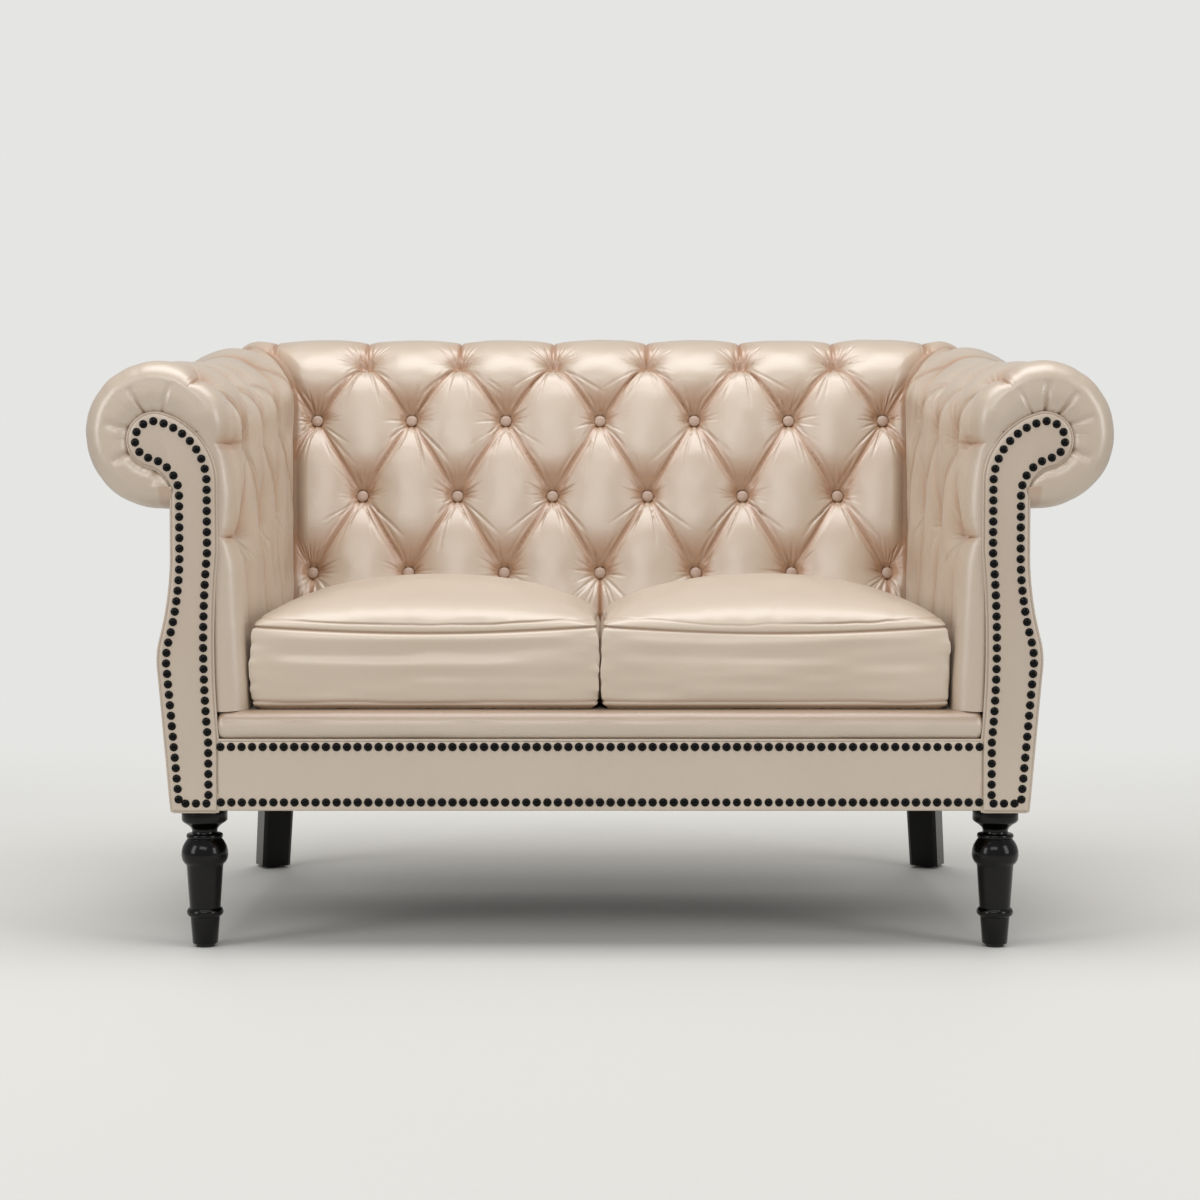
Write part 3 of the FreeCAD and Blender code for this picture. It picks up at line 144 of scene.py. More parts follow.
# Pearl leather: pale champagne hide with a pearlescent topcoat, so its lit crowns are nearly
# white. Its folds turn peach and brown by painted shade, which each piece's fold attribute mixes
# in: the fold colour, then a deeper painted shadow. Used in four tones, for the tufted pads, the
# buttons, the smooth panels and the cushions. Its pores are 0.3 mm wide, and are drawn at 1.9 mm
# so that they show.
DEEP_PAINTED_SHADOW, CLOUD_MM, PORE_MM = "#5E432F", 200, 1.923


def leather(name, base, shade, fold, wrinkle_mm, wrinkle_height_mm, roughness):
    """Satin leather with painted shade: its tone turns to the fold colour where the fold attribute rises.
    """
    material, tree, out = new_material(name)
    spot = add(tree, "ShaderNodeTexCoord").outputs["Object"]
    cloud = add(tree, "ShaderNodeTexNoise", {"Vector": spot, "Scale": 1000 / CLOUD_MM, "Detail": 3.0,
                                             "Roughness": 0.55})
    tone = add(tree, "ShaderNodeMix", {0: cloud.outputs["Fac"], 6: hue(base), 7: hue(shade)},
               data_type="RGBA")
    depth = add(tree, "ShaderNodeAttribute", attribute_name="fold")
    # Painted shade: the fold colour mixes in from a fold value of 0.1, the painted shadow from 0.86.
    for start, most, colour in ((0.1, 0.85, fold), (0.86, 0.8, DEEP_PAINTED_SHADOW)):
        share = add(tree, "ShaderNodeMapRange", {"Value": depth.outputs["Fac"], "From Min": start,
                                                 "From Max": 1.0, "To Max": most})
        tone = add(tree, "ShaderNodeMix", {0: share.outputs[0], 6: tone.outputs[2], 7: hue(colour)},
                   data_type="RGBA")
    creased = add(tree, "ShaderNodeTexNoise", {"Vector": spot, "Scale": 1000 / wrinkle_mm, "Detail": 4.0,
                                               "Roughness": 0.6, "Distortion": 0.8})
    low = add(tree, "ShaderNodeBump", {"Height": creased.outputs["Fac"], "Strength": 0.5,
                                       "Distance": wrinkle_height_mm / 1000})
    pores = add(tree, "ShaderNodeTexVoronoi", {"Vector": spot, "Scale": 1000 / PORE_MM},
                feature="SMOOTH_F1")
    fine = add(tree, "ShaderNodeBump", {"Height": pores.outputs["Distance"], "Strength": 0.22,
                                        "Distance": 0.0005, "Normal": low.outputs[0]})
    shell = add(tree, "ShaderNodeBsdfPrincipled", {
        "Base Color": tone.outputs[2], "Normal": fine.outputs[0], "Roughness": roughness, "IOR": 2.0,
        "Coat Weight": 0.45, "Coat Roughness": 0.30, "Sheen Weight": 0.08, "Sheen Roughness": 0.35})
    tree.links.new(shell.outputs[0], out.inputs[0])
    return material


tufted_leather = leather("pearl leather, tufted", "#C9B8A4", "#BFAC97", "#AA7750", 26, 0.9, 0.38)


# Padded back and arms: one section for the three tufted pads. Stuffing over webbing, covered in
# leather that is drawn down by buttons in a diamond pattern, pleated between them, rolled over
# the scroll and tucked in under it. The rolls meet at each rear corner in a folded mitre.

# Middle lines and radius of the rolls, and the radius of the corner that the mitre turns round.
ROLL_X, ROLL_Y, ROLL, CORNER = 0.620, 0.326, 0.104, 0.050
BACK_RISE, ARM_RISE, DECK = 0.817, 0.727, 0.3384
PAD_FRONT, STUMP_BACK, FRONT_ROUND, NECK_X, TUCK_DROP = -0.4194, -0.3874, 0.030, 0.598, 0.0012
HALF_PITCH, ROW_PITCH, TOP_PITCH, BACK_LAST, ARM_FIRST, ARM_LAST = 0.080, 0.133, 0.110, 0.480, -0.330, 0.070
# Depth and reach of pleats, dimples and gathers, and of the cover's fold into the mitre.
PLEAT, DIMPLE, DIMPLE_REACH, GATHER, GATHER_REACH = 0.0115, 0.0185, 0.074, 0.0021, 0.125
PLEAT_LIP, BESIDE, SWELL, FINE_SWELL = 0.0022, 0.0016, 0.0011, 0.0005
FOLD, FOLD_REACH, FOLD_INNER, SKIN_GAP, BACKING = 0.013, 0.022, 0.030, 0.0002, 0.038
MITRE_RUN, CREST_SAG, FRONT_PROUD, RIM_ANGLE, BACKING_EVERY = 0.211, 0.021, 0.010, 80, 4
BACK_STEP = 0.0019
ARM_STEP = 0.0024
# Reach of a face's foot from its roll's middle line, its height, v of the rows of buttons, u of
# the first column, and the span of u that holds buttons.
FOOT_REACH = {"back": 0.118 - ROLL_Y, "arm": 0.497 - ROLL_X}
FOOT_Z = {"back": 0.454, "arm": DECK}
ROWS = {"back": (0.046, -0.064, -0.197, -0.330), "arm": (0.093, -0.017, -0.150)}
FIRST = {"back": HALF_PITCH, "arm": ARM_FIRST}
SPAN = {"back": (-BACK_LAST, BACK_LAST), "arm": (ARM_FIRST, ARM_LAST)}


def straight_part(run, roll_z):
    """Lean and length of a face from its foot to where it meets its roll."""
    high = roll_z - FOOT_Z[run]
    whole = np.hypot(FOOT_REACH[run], high)
    return np.arctan2(-FOOT_REACH[run], high) - np.arcsin(ROLL / whole), np.sqrt(whole ** 2 - ROLL ** 2)


def roll_height(run, y):
    """Height of a roll's middle line. The arm's is level over its front and rises to the back's."""
    if run == "back":
        return np.full_like(y, BACK_RISE)
    end = ROLL_Y - ROLL * math.cos(straight_part("back", BACK_RISE)[0])
    share = np.clip((y - STUMP_BACK) / (end - STUMP_BACK), 0, 1)
    return ARM_RISE + (BACK_RISE - ARM_RISE) * (0.29 * share + 0.71 * share ** 2)


def face_at(run, y, v):
    """Reach, height, outward normal and length of a padded face at v, measured from its roll."""
    roll_z = roll_height(run, y)
    lean, length = straight_part(run, roll_z)
    angle = math.pi - lean - np.maximum(v, 0) / ROLL
    below = v < -length
    normal_reach = np.where(below, -1.0, np.cos(angle))
    normal_z = np.where(below, 0.0, np.sin(angle))
    down = np.maximum(np.minimum(v, 0), -length)
    reach = ROLL * np.cos(angle) + down * np.sin(lean)
    height = roll_z + ROLL * np.sin(angle) + down * np.cos(lean) + np.minimum(v + length, 0)
    return reach, height, normal_reach, normal_z, length


def reach_at(run, y, height):
    """Reach of a face's inner side at a height."""
    roll_z = roll_height(run, y)
    lean = straight_part(run, roll_z)[0]
    up = height - roll_z
    rolled = -np.sqrt(np.maximum(ROLL ** 2 - up ** 2, 0))
    straight = FOOT_REACH[run] + np.maximum(height - FOOT_Z[run], 0) * np.tan(lean)
    return np.where(up >= ROLL * np.sin(math.pi - lean), rolled, straight)


def ends(run):
    """v of the lowest line of a face and of the end of its roll, at the settee's rear corner."""
    lean, length = straight_part(run, BACK_RISE)
    return DECK - FOOT_Z[run] - length, ROLL * (math.pi * 1.5 - lean)


def noise(seed, u, v, size_u, size_v):
    """Smooth random values from -1 to 1 whose bumps are size_u by size_v."""
    table = np.random.default_rng(seed).uniform(-1, 1, (128, 128))
    x, y = u / size_u + 640, v / size_v + 640
    i, j = np.floor(x).astype(int), np.floor(y).astype(int)
    fx, fy = x - i, y - j
    fx, fy = fx * fx * (3 - 2 * fx), fy * fy * (3 - 2 * fy)
    near = table[i % 128, j % 128] * (1 - fx) + table[(i + 1) % 128, j % 128] * fx
    far = table[i % 128, (j + 1) % 128] * (1 - fx) + table[(i + 1) % 128, (j + 1) % 128] * fx
    return near * (1 - fy) + far * fy


def smooth(value, low, high):
    """0 below low, 1 above high and an easy slope between."""
    share = np.clip((value - low) / (high - low), 0, 1)
    return share * share * (3 - 2 * share)


def bell(distance, width):
    """1 at no distance, with an easy fall on both sides."""
    return np.exp(-(distance / width) ** 2)


def crease(distance, width):
    """A narrow valley with a lip on each side."""
    return (1 - 0.9 * (distance / width) ** 2) * bell(distance, width)


def fullness(run, u, v):
    """How full the cover is, 0 in a pleat and 1 on a crown, the distance to the nearest pleat, and
    the row: across and down are whole numbers at the buttons."""
    rows = np.array(ROWS[run])
    last = len(rows) - 1
    across = (u - FIRST[run]) / HALF_PITCH
    down = np.interp(-v, -rows, np.arange(len(rows)))
    down = np.where(v > rows[0], (rows[0] - v) / TOP_PITCH, down)
    down = np.where(v < rows[-1], last + (rows[-1] - v) / ROW_PITCH, down)
    s, t = (across + down) / 2, (across - down) / 2
    near_s, near_t = np.abs(s - np.round(s)), np.abs(t - np.round(t))
    diamond = np.sin(math.pi * near_s) * np.sin(math.pi * near_t)
    pleat = np.minimum(near_s, near_t) * 2 * HALF_PITCH * math.cos(math.atan(HALF_PITCH / ROW_PITCH))
    above, below = down < 0, down > last
    half = (across - np.where(below, last % 2, 0)) / 2
    straight = np.abs(np.sin(math.pi * half))
    beyond = np.where(above, -down, np.where(below, down - last, 0))
    full = np.where(above | below, straight ** (2 - smooth(beyond, 0, 0.35)), diamond)
    pleat = np.where(above | below, np.abs(half - np.round(half)) * 2 * HALF_PITCH, pleat)
    if run == "arm":
        level = np.abs(down - np.round(down))
        bars = np.sin(math.pi * level)
        held = (down > -0.5) & (down < last + 0.5)
        spread = smooth(-across, 0, 0.4)
        full = np.where(across < 0, full * (1 - spread) + np.where(held, bars, 1.0) * spread, full)
        odd = (across >= 0) & (across < 1) & (np.abs(down - 1) < 0.5)
        full = np.where(odd, np.minimum(full, bars ** 1.2), full)
        bar_pleat = np.where(held, level * ROW_PITCH, 1.0)
        pleat = np.where(across < 0, bar_pleat, np.where(odd, np.minimum(pleat, bar_pleat), pleat))
    return full, pleat, down


def button_places(run):
    """(u, v, seed) of every button of a run."""
    low, high = SPAN[run]
    places = []
    for row, v in enumerate(ROWS[run]):
        for column in range(-12, 13):
            u = FIRST[run] + (row % 2) * HALF_PITCH + column * 2 * HALF_PITCH
            if low - 0.001 <= u <= high + 0.001:
                places.append((u, v, 31 * row + column + 400))
    return places


def star(du, dv, seed):
    """Gathers that radiate from a button: long ones beside the pleats and short ones between."""
    random = np.random.default_rng(seed)
    near = np.hypot(du, dv) < GATHER_REACH
    du, dv = du[near], dv[near]
    away = np.hypot(du, dv)
    slope = math.atan2(ROW_PITCH, HALF_PITCH)
    spokes = []
    for base, longest, weight in ((slope, 0.085, 0.7), (math.pi - slope, 0.085, 0.7),
                                  (-slope, 0.125, 1.15), (slope - math.pi, 0.125, 1.15)):
        for offset in (-0.24, -0.14, 0.14, 0.24):
            spokes.append((base + offset + random.uniform(-0.03, 0.03), longest * random.uniform(0.6, 1),
                           weight * random.uniform(0.6, 1.2)))
    for middle, spread, count, longest, weight in (
            (math.pi / 2, 0.42, 7, 0.060, 0.8), (0, 0.62, 6, 0.056, 1.1),
            (math.pi, 0.62, 6, 0.056, 1.1), (-math.pi / 2, 0.36, 5, 0.042, 0.9)):
        for index in range(count):
            angle = middle + spread * ((2 * index + random.uniform(-0.4, 1.4)) / count - 1)
            spokes.append((angle, longest * random.uniform(0.5, 1.1), weight * random.uniform(0.5, 1.2)))
    height = np.zeros_like(away)
    for angle, length, weight in spokes:
        turned = np.arctan2(dv, du) - angle - random.uniform(-1.6, 1.6) * away
        envelope = smooth(away, 0.007, 0.015) * (1 - smooth(away, length * 0.35, length))
        gather = weight * envelope * crease(away * np.sin(turned), 0.0013 + 0.022 * away)
        height -= np.where(np.cos(turned) > 0, gather, 0)
    return near, height * GATHER


def tufting(run, side, u, v):
    """Depth of the cover below its face, and its painted shade, deepest in pleats and round buttons."""
    full, pleat, down = fullness(run, u, v)
    over_roll = smooth(-down, 0.15, 1.3)
    corner = smooth(u, 0.075, 0.17) if run == "arm" else 0
    groove = PLEAT * (1 - 0.45 * over_roll) * (1 - 0.6 * corner)
    lip = PLEAT_LIP * bell(pleat, 0.0022) * (1 - 0.4 * over_roll)
    beside = bell(pleat - 0.0085, 0.0022) * smooth(noise(61 + side, u, v, 0.035, 0.05), -0.5, 0.4)
    beside = beside * (1 - over_roll) * (1 - full) ** 0.5
    depth = groove * (1 - full ** 0.5) + lip + BESIDE * beside
    # Painted shade in the pleats, beside them and away from the crowns.
    shade = 0.62 * bell(pleat, 0.0045) + 0.50 * (1 - full ** 0.7) * (1 - 0.6 * over_roll) + 0.30 * beside
    ring = np.zeros_like(depth)
    for at_u, at_v, seed in button_places(run):
        du, dv = u - at_u, v - at_v
        away = np.hypot(du, dv)
        closed = at_v > 0 and run == "back"
        bowl = 0.70 * np.maximum(0, 1 - np.maximum(away - 0.006, 0) / DIMPLE_REACH) ** 2.3
        funnel = 0.30 * bell(np.maximum(away - 0.0055, 0), 0.008)
        depth = depth + DIMPLE * (bowl + funnel * (1.5 if closed else 1))
        near, height = star(du, dv, seed * (2 + side))
        depth[near] -= height
        # Painted shade round each button and in a cone above it, where the cover faces down, and a painted
        # highlight just below it; less at the hidden crest buttons.
        painted_shade_above = bell(du, 0.012 + 0.30 * np.maximum(dv, 0)) * (1 - np.clip(dv / 0.075, 0, 1))
        under = smooth(-dv, -0.004, 0.016)
        weight = 0.25 if closed else 1.0
        shade = shade + 0.75 * weight * bell(away, 0.022) * (1 - 0.8 * under)
        shade = shade - 0.35 * under * bell(away, 0.04) + 0.80 * weight * np.where(dv > 0, painted_shade_above, 0)
        # Painted shadow: a dark ring in the gap round each button, or a dark spot over a hidden crest
        # button.
        ring = np.maximum(ring, bell(away, 0.0045) if closed else bell(away - 0.0105, 0.0024))
    swell = SWELL * noise(11 + side, u, v, 0.055, 0.06) + FINE_SWELL * noise(23 + side, u, v, 0.024, 0.030)
    return depth - swell * smooth(full, 0.05, 0.6), np.maximum(np.clip(shade, 0, 0.86), ring)


def back_v(run, v):
    """v of the back's line that meets a run's line in the mitre, level by level."""
    if run == "back":
        return v
    top, (back_low, back_top) = ends("arm")[1], ends("back")
    levels = np.linspace(back_low, back_top, 400)
    heights = face_at("back", np.full_like(levels, ROLL_Y), levels)[1]
    arm_z = face_at("arm", np.full_like(v, ROLL_Y), v)[1]
    inner = np.interp(arm_z, heights[levels <= 0], levels[levels <= 0])
    return np.where(v > 0, back_top + (v - top) * back_top / top, np.minimum(inner, 0))


def cover(run, side, u, share, v, depth_of, fold):
    """Points and fold tones of a pad's cover. Its columns are told by u and by their share of the
    way into the mitre, its rows by v, and depth_of gives the tufting."""
    u, share, v = np.broadcast_arrays(u, share, v)
    other = "arm" if run == "back" else "back"
    last, head = SPAN[run][1], ROLL_X if run == "back" else ROLL_Y
    y = np.where(share > 0, ROLL_Y, u) if run == "arm" else np.full_like(u, ROLL_Y)
    low, lowest = ends(run)[0], ROWS[run][-1]

    def lowered(y):
        """v with the part under the lowest buttons stretched to the face's foot."""
        foot = DECK - FOOT_Z[run] - face_at(run, y, v)[4]
        return np.where(v >= lowest, v, lowest + (v - lowest) * (foot - lowest) / (low - lowest))

    reach, height, out_reach, out_z, _ = face_at(run, y, lowered(y))
    start = last - head
    for _ in range(2):
        inner = np.minimum(reach_at(other, np.full_like(u, ROLL_Y), height), -CORNER)
        stop = np.where(reach >= -CORNER, -CORNER, inner)
        whole = stop - start + np.maximum(CORNER + reach, 0) * math.pi / 4
        gone = share * whole
        straight = gone <= stop - start
        along = np.where(share > 0, np.where(straight, start + gone, stop), u - head)
        turn = np.where((share > 0) & ~straight,
                        (gone - (stop - start)) / np.maximum(CORNER + reach, 1e-9), 0)
        if run == "arm":
            y = np.where(share > 0, ROLL_Y + along, u)
            reach, height, out_reach, out_z, _ = face_at(run, y, lowered(y))
    left = np.where(share > 0, whole - gone, FOLD_REACH)
    drawn = (1 - np.minimum(left / FOLD_REACH, 1)) ** 2
    depth, shade = depth_of(np.where(share > 0, last + gone, u), v)
    depth = np.minimum(depth, fold + 0.030 * left / FOLD_REACH) * (1 - drawn) + fold * drawn
    # Painted shade: more where the cover is drawn into the mitre's fold, and no dark button rings there.
    shade = np.where(shade > 0.86, shade * (1 - drawn), np.clip(shade + 0.30 * drawn, 0, 0.86))
    reach, height = reach - depth * out_reach, height - depth * out_z
    outwards = np.where(turn > 0, -CORNER + (CORNER + reach) * np.cos(turn), reach)
    along = np.where(turn > 0, -CORNER + (CORNER + reach) * np.sin(turn), along)
    x, y = (outwards, along) if run == "arm" else (along, outwards)
    points = np.stack([side * (ROLL_X + x), ROLL_Y + y, height], -1)

    # The last column lies in the mitre that both runs share, set back by half their gap.
    gap = SKIN_GAP if run == "arm" else -SKIN_GAP
    middle = np.full_like(v, ROLL_Y)
    reach, height, out_reach, out_z, _ = face_at("back", middle, back_v(run, v))
    inner = reach_at("arm", middle, height) - fold * out_reach
    reach = reach - fold * out_reach
    turned = (CORNER + reach) * math.sqrt(0.5) - CORNER
    x, y = (np.where(reach >= -CORNER, turned, beyond) for beyond in (inner, reach))
    seam = np.stack([side * (ROLL_X + x + gap), ROLL_Y + y - gap, height - fold * out_z], -1)
    return np.where((share >= 1)[..., None], seam, points), shade


def tucked(points, shade, way):
    """Adds the rows that run from the lowest line of a roll, along way, to the neck under it."""
    edge, rows, tones = points[:, -1], [points], [shade]
    for share in np.linspace(0, 1, BACKING_EVERY + 1)[1:]:
        rows.append((edge - share * np.array(way))[:, None])
        # Painted shade, half-deep, on the rows tucked under the roll.
        tones.append(np.full((len(edge), 1), 0.5))
    return np.concatenate(rows, 1), np.concatenate(tones, 1)


def cells(length, step):
    """Number of cells of about step in a length, as whole cells of the backing."""
    return max(BACKING_EVERY, math.ceil(length / step / BACKING_EVERY) * BACKING_EVERY)


def quads(index):
    """Faces of a grid of points, given their numbers."""
    around = [index[:-1, :-1], index[1:, :-1], index[1:, 1:], index[:-1, 1:]]
    return np.stack(around, -1).reshape(-1, 4).tolist()


def closed_mesh(name, vertices, faces, tones=None, weld=0):
    """An object of a closed mesh with its faces turned outwards, and its fold shading."""
    mesh = bpy.data.meshes.new(name)
    mesh.from_pydata(np.asarray(vertices).tolist(), [], faces)
    if tones is not None:
        fold = mesh.attributes.new("fold", "FLOAT", "POINT")
        fold.data.foreach_set("value", np.asarray(tones, np.float32))
    work = bmesh.new()
    work.from_mesh(mesh)
    if weld:
        bmesh.ops.remove_doubles(work, verts=work.verts, dist=weld)
    bmesh.ops.recalc_face_normals(work, faces=work.faces)
    work.to_mesh(mesh)
    work.free()
    mesh.shade_smooth()
    return placed(name, mesh)


def backed(name, outer, inner, tones=None):
    """A closed mesh from a fine grid and a coarse one behind it, whose edges are joined."""
    coarse = inner[::BACKING_EVERY, ::BACKING_EVERY]
    count, few = outer[..., 0].size, coarse[..., 0].size
    fine = np.arange(count).reshape(outer.shape[:2])
    rough = count + np.arange(few).reshape(coarse.shape[:2])
    faces = quads(fine) + quads(rough)
    for thin, thick in zip((fine[:, 0], fine[:, -1], fine[0], fine[-1]),
                           (rough[:, 0], rough[:, -1], rough[0], rough[-1])):
        thin, thick = thin.tolist(), thick.tolist()
        for k in range(len(thick) - 1):
            faces.append(thin[k * BACKING_EVERY:(k + 1) * BACKING_EVERY + 1] + [thick[k + 1], thick[k]])
    tones = np.zeros(count) if tones is None else tones.reshape(-1)
    vertices = np.concatenate([outer.reshape(-1, 3), coarse.reshape(-1, 3)])
    return closed_mesh(name, vertices, faces, np.concatenate([tones, np.zeros(few)]))


def dressed(piece, material, slot, *nodes, body="sofa_frame"):
    """Gives a finished piece its material and body, hides the nodes that it stands for; slot is not used.
    """
    piece.data.materials.clear()
    piece.data.materials.append(material)
    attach(piece, body)
    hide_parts(*nodes)


def finish_pad(name, grids, node):
    """A tufted pad from its cover and the grid behind it."""
    (outer, tones), (inner, _) = grids
    piece = backed(name, outer, inner, tones)
    piece.data.set_sharp_from_angle(angle=math.radians(RIM_ANGLE))
    dressed(piece, tufted_leather, "tufted_leather", node)


def build_back():
    low, top = ends("back")
    v = np.linspace(low, top, cells(top - low, BACK_STEP) + 1)[None, :]
    shares = np.linspace(0, 1, cells(MITRE_RUN, BACK_STEP) + 1)[1:, None]
    middle = np.linspace(-BACK_LAST, BACK_LAST, cells(2 * BACK_LAST, BACK_STEP) + 1)[:, None]
    halves = ((-1, 0 * shares, shares[::-1]),
              (1, np.concatenate([middle, 0 * shares]), np.concatenate([0 * middle, shares])))
    grids = []
    for flat, fold in ((False, FOLD), (True, FOLD_INNER)):
        parts = []
        for way, u, share in halves:
            def depth_of(at_u, at_v):
                if flat:
                    return np.full_like(at_u, BACKING), np.zeros_like(at_u)
                return tufting("back", 0, at_u * way, at_v)

            parts.append(cover("back", way, u, share, v, depth_of, fold))
        points, tones = (np.concatenate(both) for both in zip(*parts))
        grids.append(tucked(points, tones, (0, ROLL_X - NECK_X, TUCK_DROP)))
    finish_pad("back_padding", grids, "inside_back_pad")


build_back()


# Front of the arm pads: the cover comes round the arm in radial gathers and is tacked to the edge
# of a profiled beech board, whose outline comes first. The facing covers that board later.

# Inner side of the board: its place, the foot and radius of its belly, and the waist's height.
BOARD_IN, BELLY_FOOT, BELLY, WAIST_Z = 0.5375, 0.2964, 1.405, 0.560
HEAD_X, HEAD_Z, HEAD, CAP_WIDE, CAP_DOME, SKIN = 0.622, 0.7175, 0.037, 0.085, 0.0020, 0.008
CAP_FOLD, CAP_WRINKLE, LINE_FOLD, STREAK_FINE, STREAK_BROAD = 0.0062, 0.0021, 0.0008, 0.0020, 0.0028
SHOULDER_X, SHOULDER, THROAT_X, THROAT = 0.6375, 0.100, 0.640, 0.042
SHOULDER_Z = HEAD_Z - math.sqrt((SHOULDER - HEAD) ** 2 - (SHOULDER_X - HEAD_X) ** 2)
THROAT_Z = HEAD_Z - math.sqrt((THROAT + HEAD) ** 2 - (THROAT_X - HEAD_X) ** 2)


def swept(start, end, radius, turn, step=0.002):
    """Points after start along an arc to end, anticlockwise where turn is 1."""
    start, end = np.array(start), np.array(end)
    chord = end - start
    length = np.hypot(*chord)
    rise = math.sqrt(max(radius ** 2 - length ** 2 / 4, 0))
    middle = (start + end) / 2 + np.array([-chord[1], chord[0]]) / length * rise * turn
    first, last = (math.atan2(*(point - middle)[::-1]) for point in (start, end))
    while turn * (last - first) < 0:
        last += turn * 2 * math.pi
    count = max(3, int(abs(last - first) * radius / step))
    angles = np.linspace(first, last, count + 1)[1:]
    return [tuple(middle + radius * np.array([math.cos(a), math.sin(a)])) for a in angles]


def toward(start, end, reach):
    """The point at a reach from start, on the way to end."""
    start, end = np.array(start), np.array(end)
    return tuple(start + (end - start) / np.hypot(*(end - start)) * reach)


def inner_edge(bottom):
    """The board's edge from its foot over the shoulder and the head to the neck."""
    shoulder_tip = toward((SHOULDER_X, SHOULDER_Z), (HEAD_X, HEAD_Z), SHOULDER)
    throat_tip = toward((HEAD_X, HEAD_Z), (THROAT_X, THROAT_Z), HEAD)
    line = [(BOARD_IN, bottom), (BOARD_IN, BELLY_FOOT)]
    line += swept(line[-1], (BOARD_IN, WAIST_Z), BELLY, 1, 0.008)
    line += [(BOARD_IN, z) for z in np.linspace(WAIST_Z, SHOULDER_Z, 12)[1:]]
    line += swept(line[-1], shoulder_tip, SHOULDER, -1)
    line += swept(line[-1], throat_tip, HEAD, -1)
    line += swept(line[-1], (NECK_X, THROAT_Z), THROAT, 1)
    return np.array(line)


def arm_board_targets(v, points):
    """For each line of an arm pad's front, the point of the board's edge that it closes on."""
    edge = inner_edge(0.290)
    inside = edge[(edge[:, 1] < ARM_RISE) & (np.arange(len(edge)) < len(edge) // 2)]
    rolled = edge[(edge[:, 1] > 0.660) | (edge[:, 0] > 0.602)]

    def turned(points):
        """Angles round the roll's middle, which run on past half a turn."""
        angle = np.arctan2(points[:, 1] - ARM_RISE, points[:, 0] - ROLL_X)
        return np.where(angle > -2.2, angle, angle + 2 * math.pi)

    order = np.argsort(-turned(rolled))
    rolled = rolled[order]
    on_roll = [np.interp(-turned(points), -turned(rolled), rolled[:, axis]) for axis in (0, 1)]
    below = [np.interp(points[:, 1], inside[:, 1], inside[:, 0]), points[:, 1]]
    return np.where(v < 0, below, on_roll).T


def gathers(seed, along, spacing, narrow=0.23):
    """Uneven radial gathers along a line, as valleys with rounded hills between."""
    random = np.random.default_rng(seed)
    height = np.zeros_like(along)
    at = along.min() + spacing / 2
    while at < along.max():
        width = spacing * narrow * random.uniform(0.7, 1.3)
        height = height - random.uniform(0.35, 1.0) * bell(along - at, width)
        at += spacing * random.uniform(0.6, 1.5)
    return height


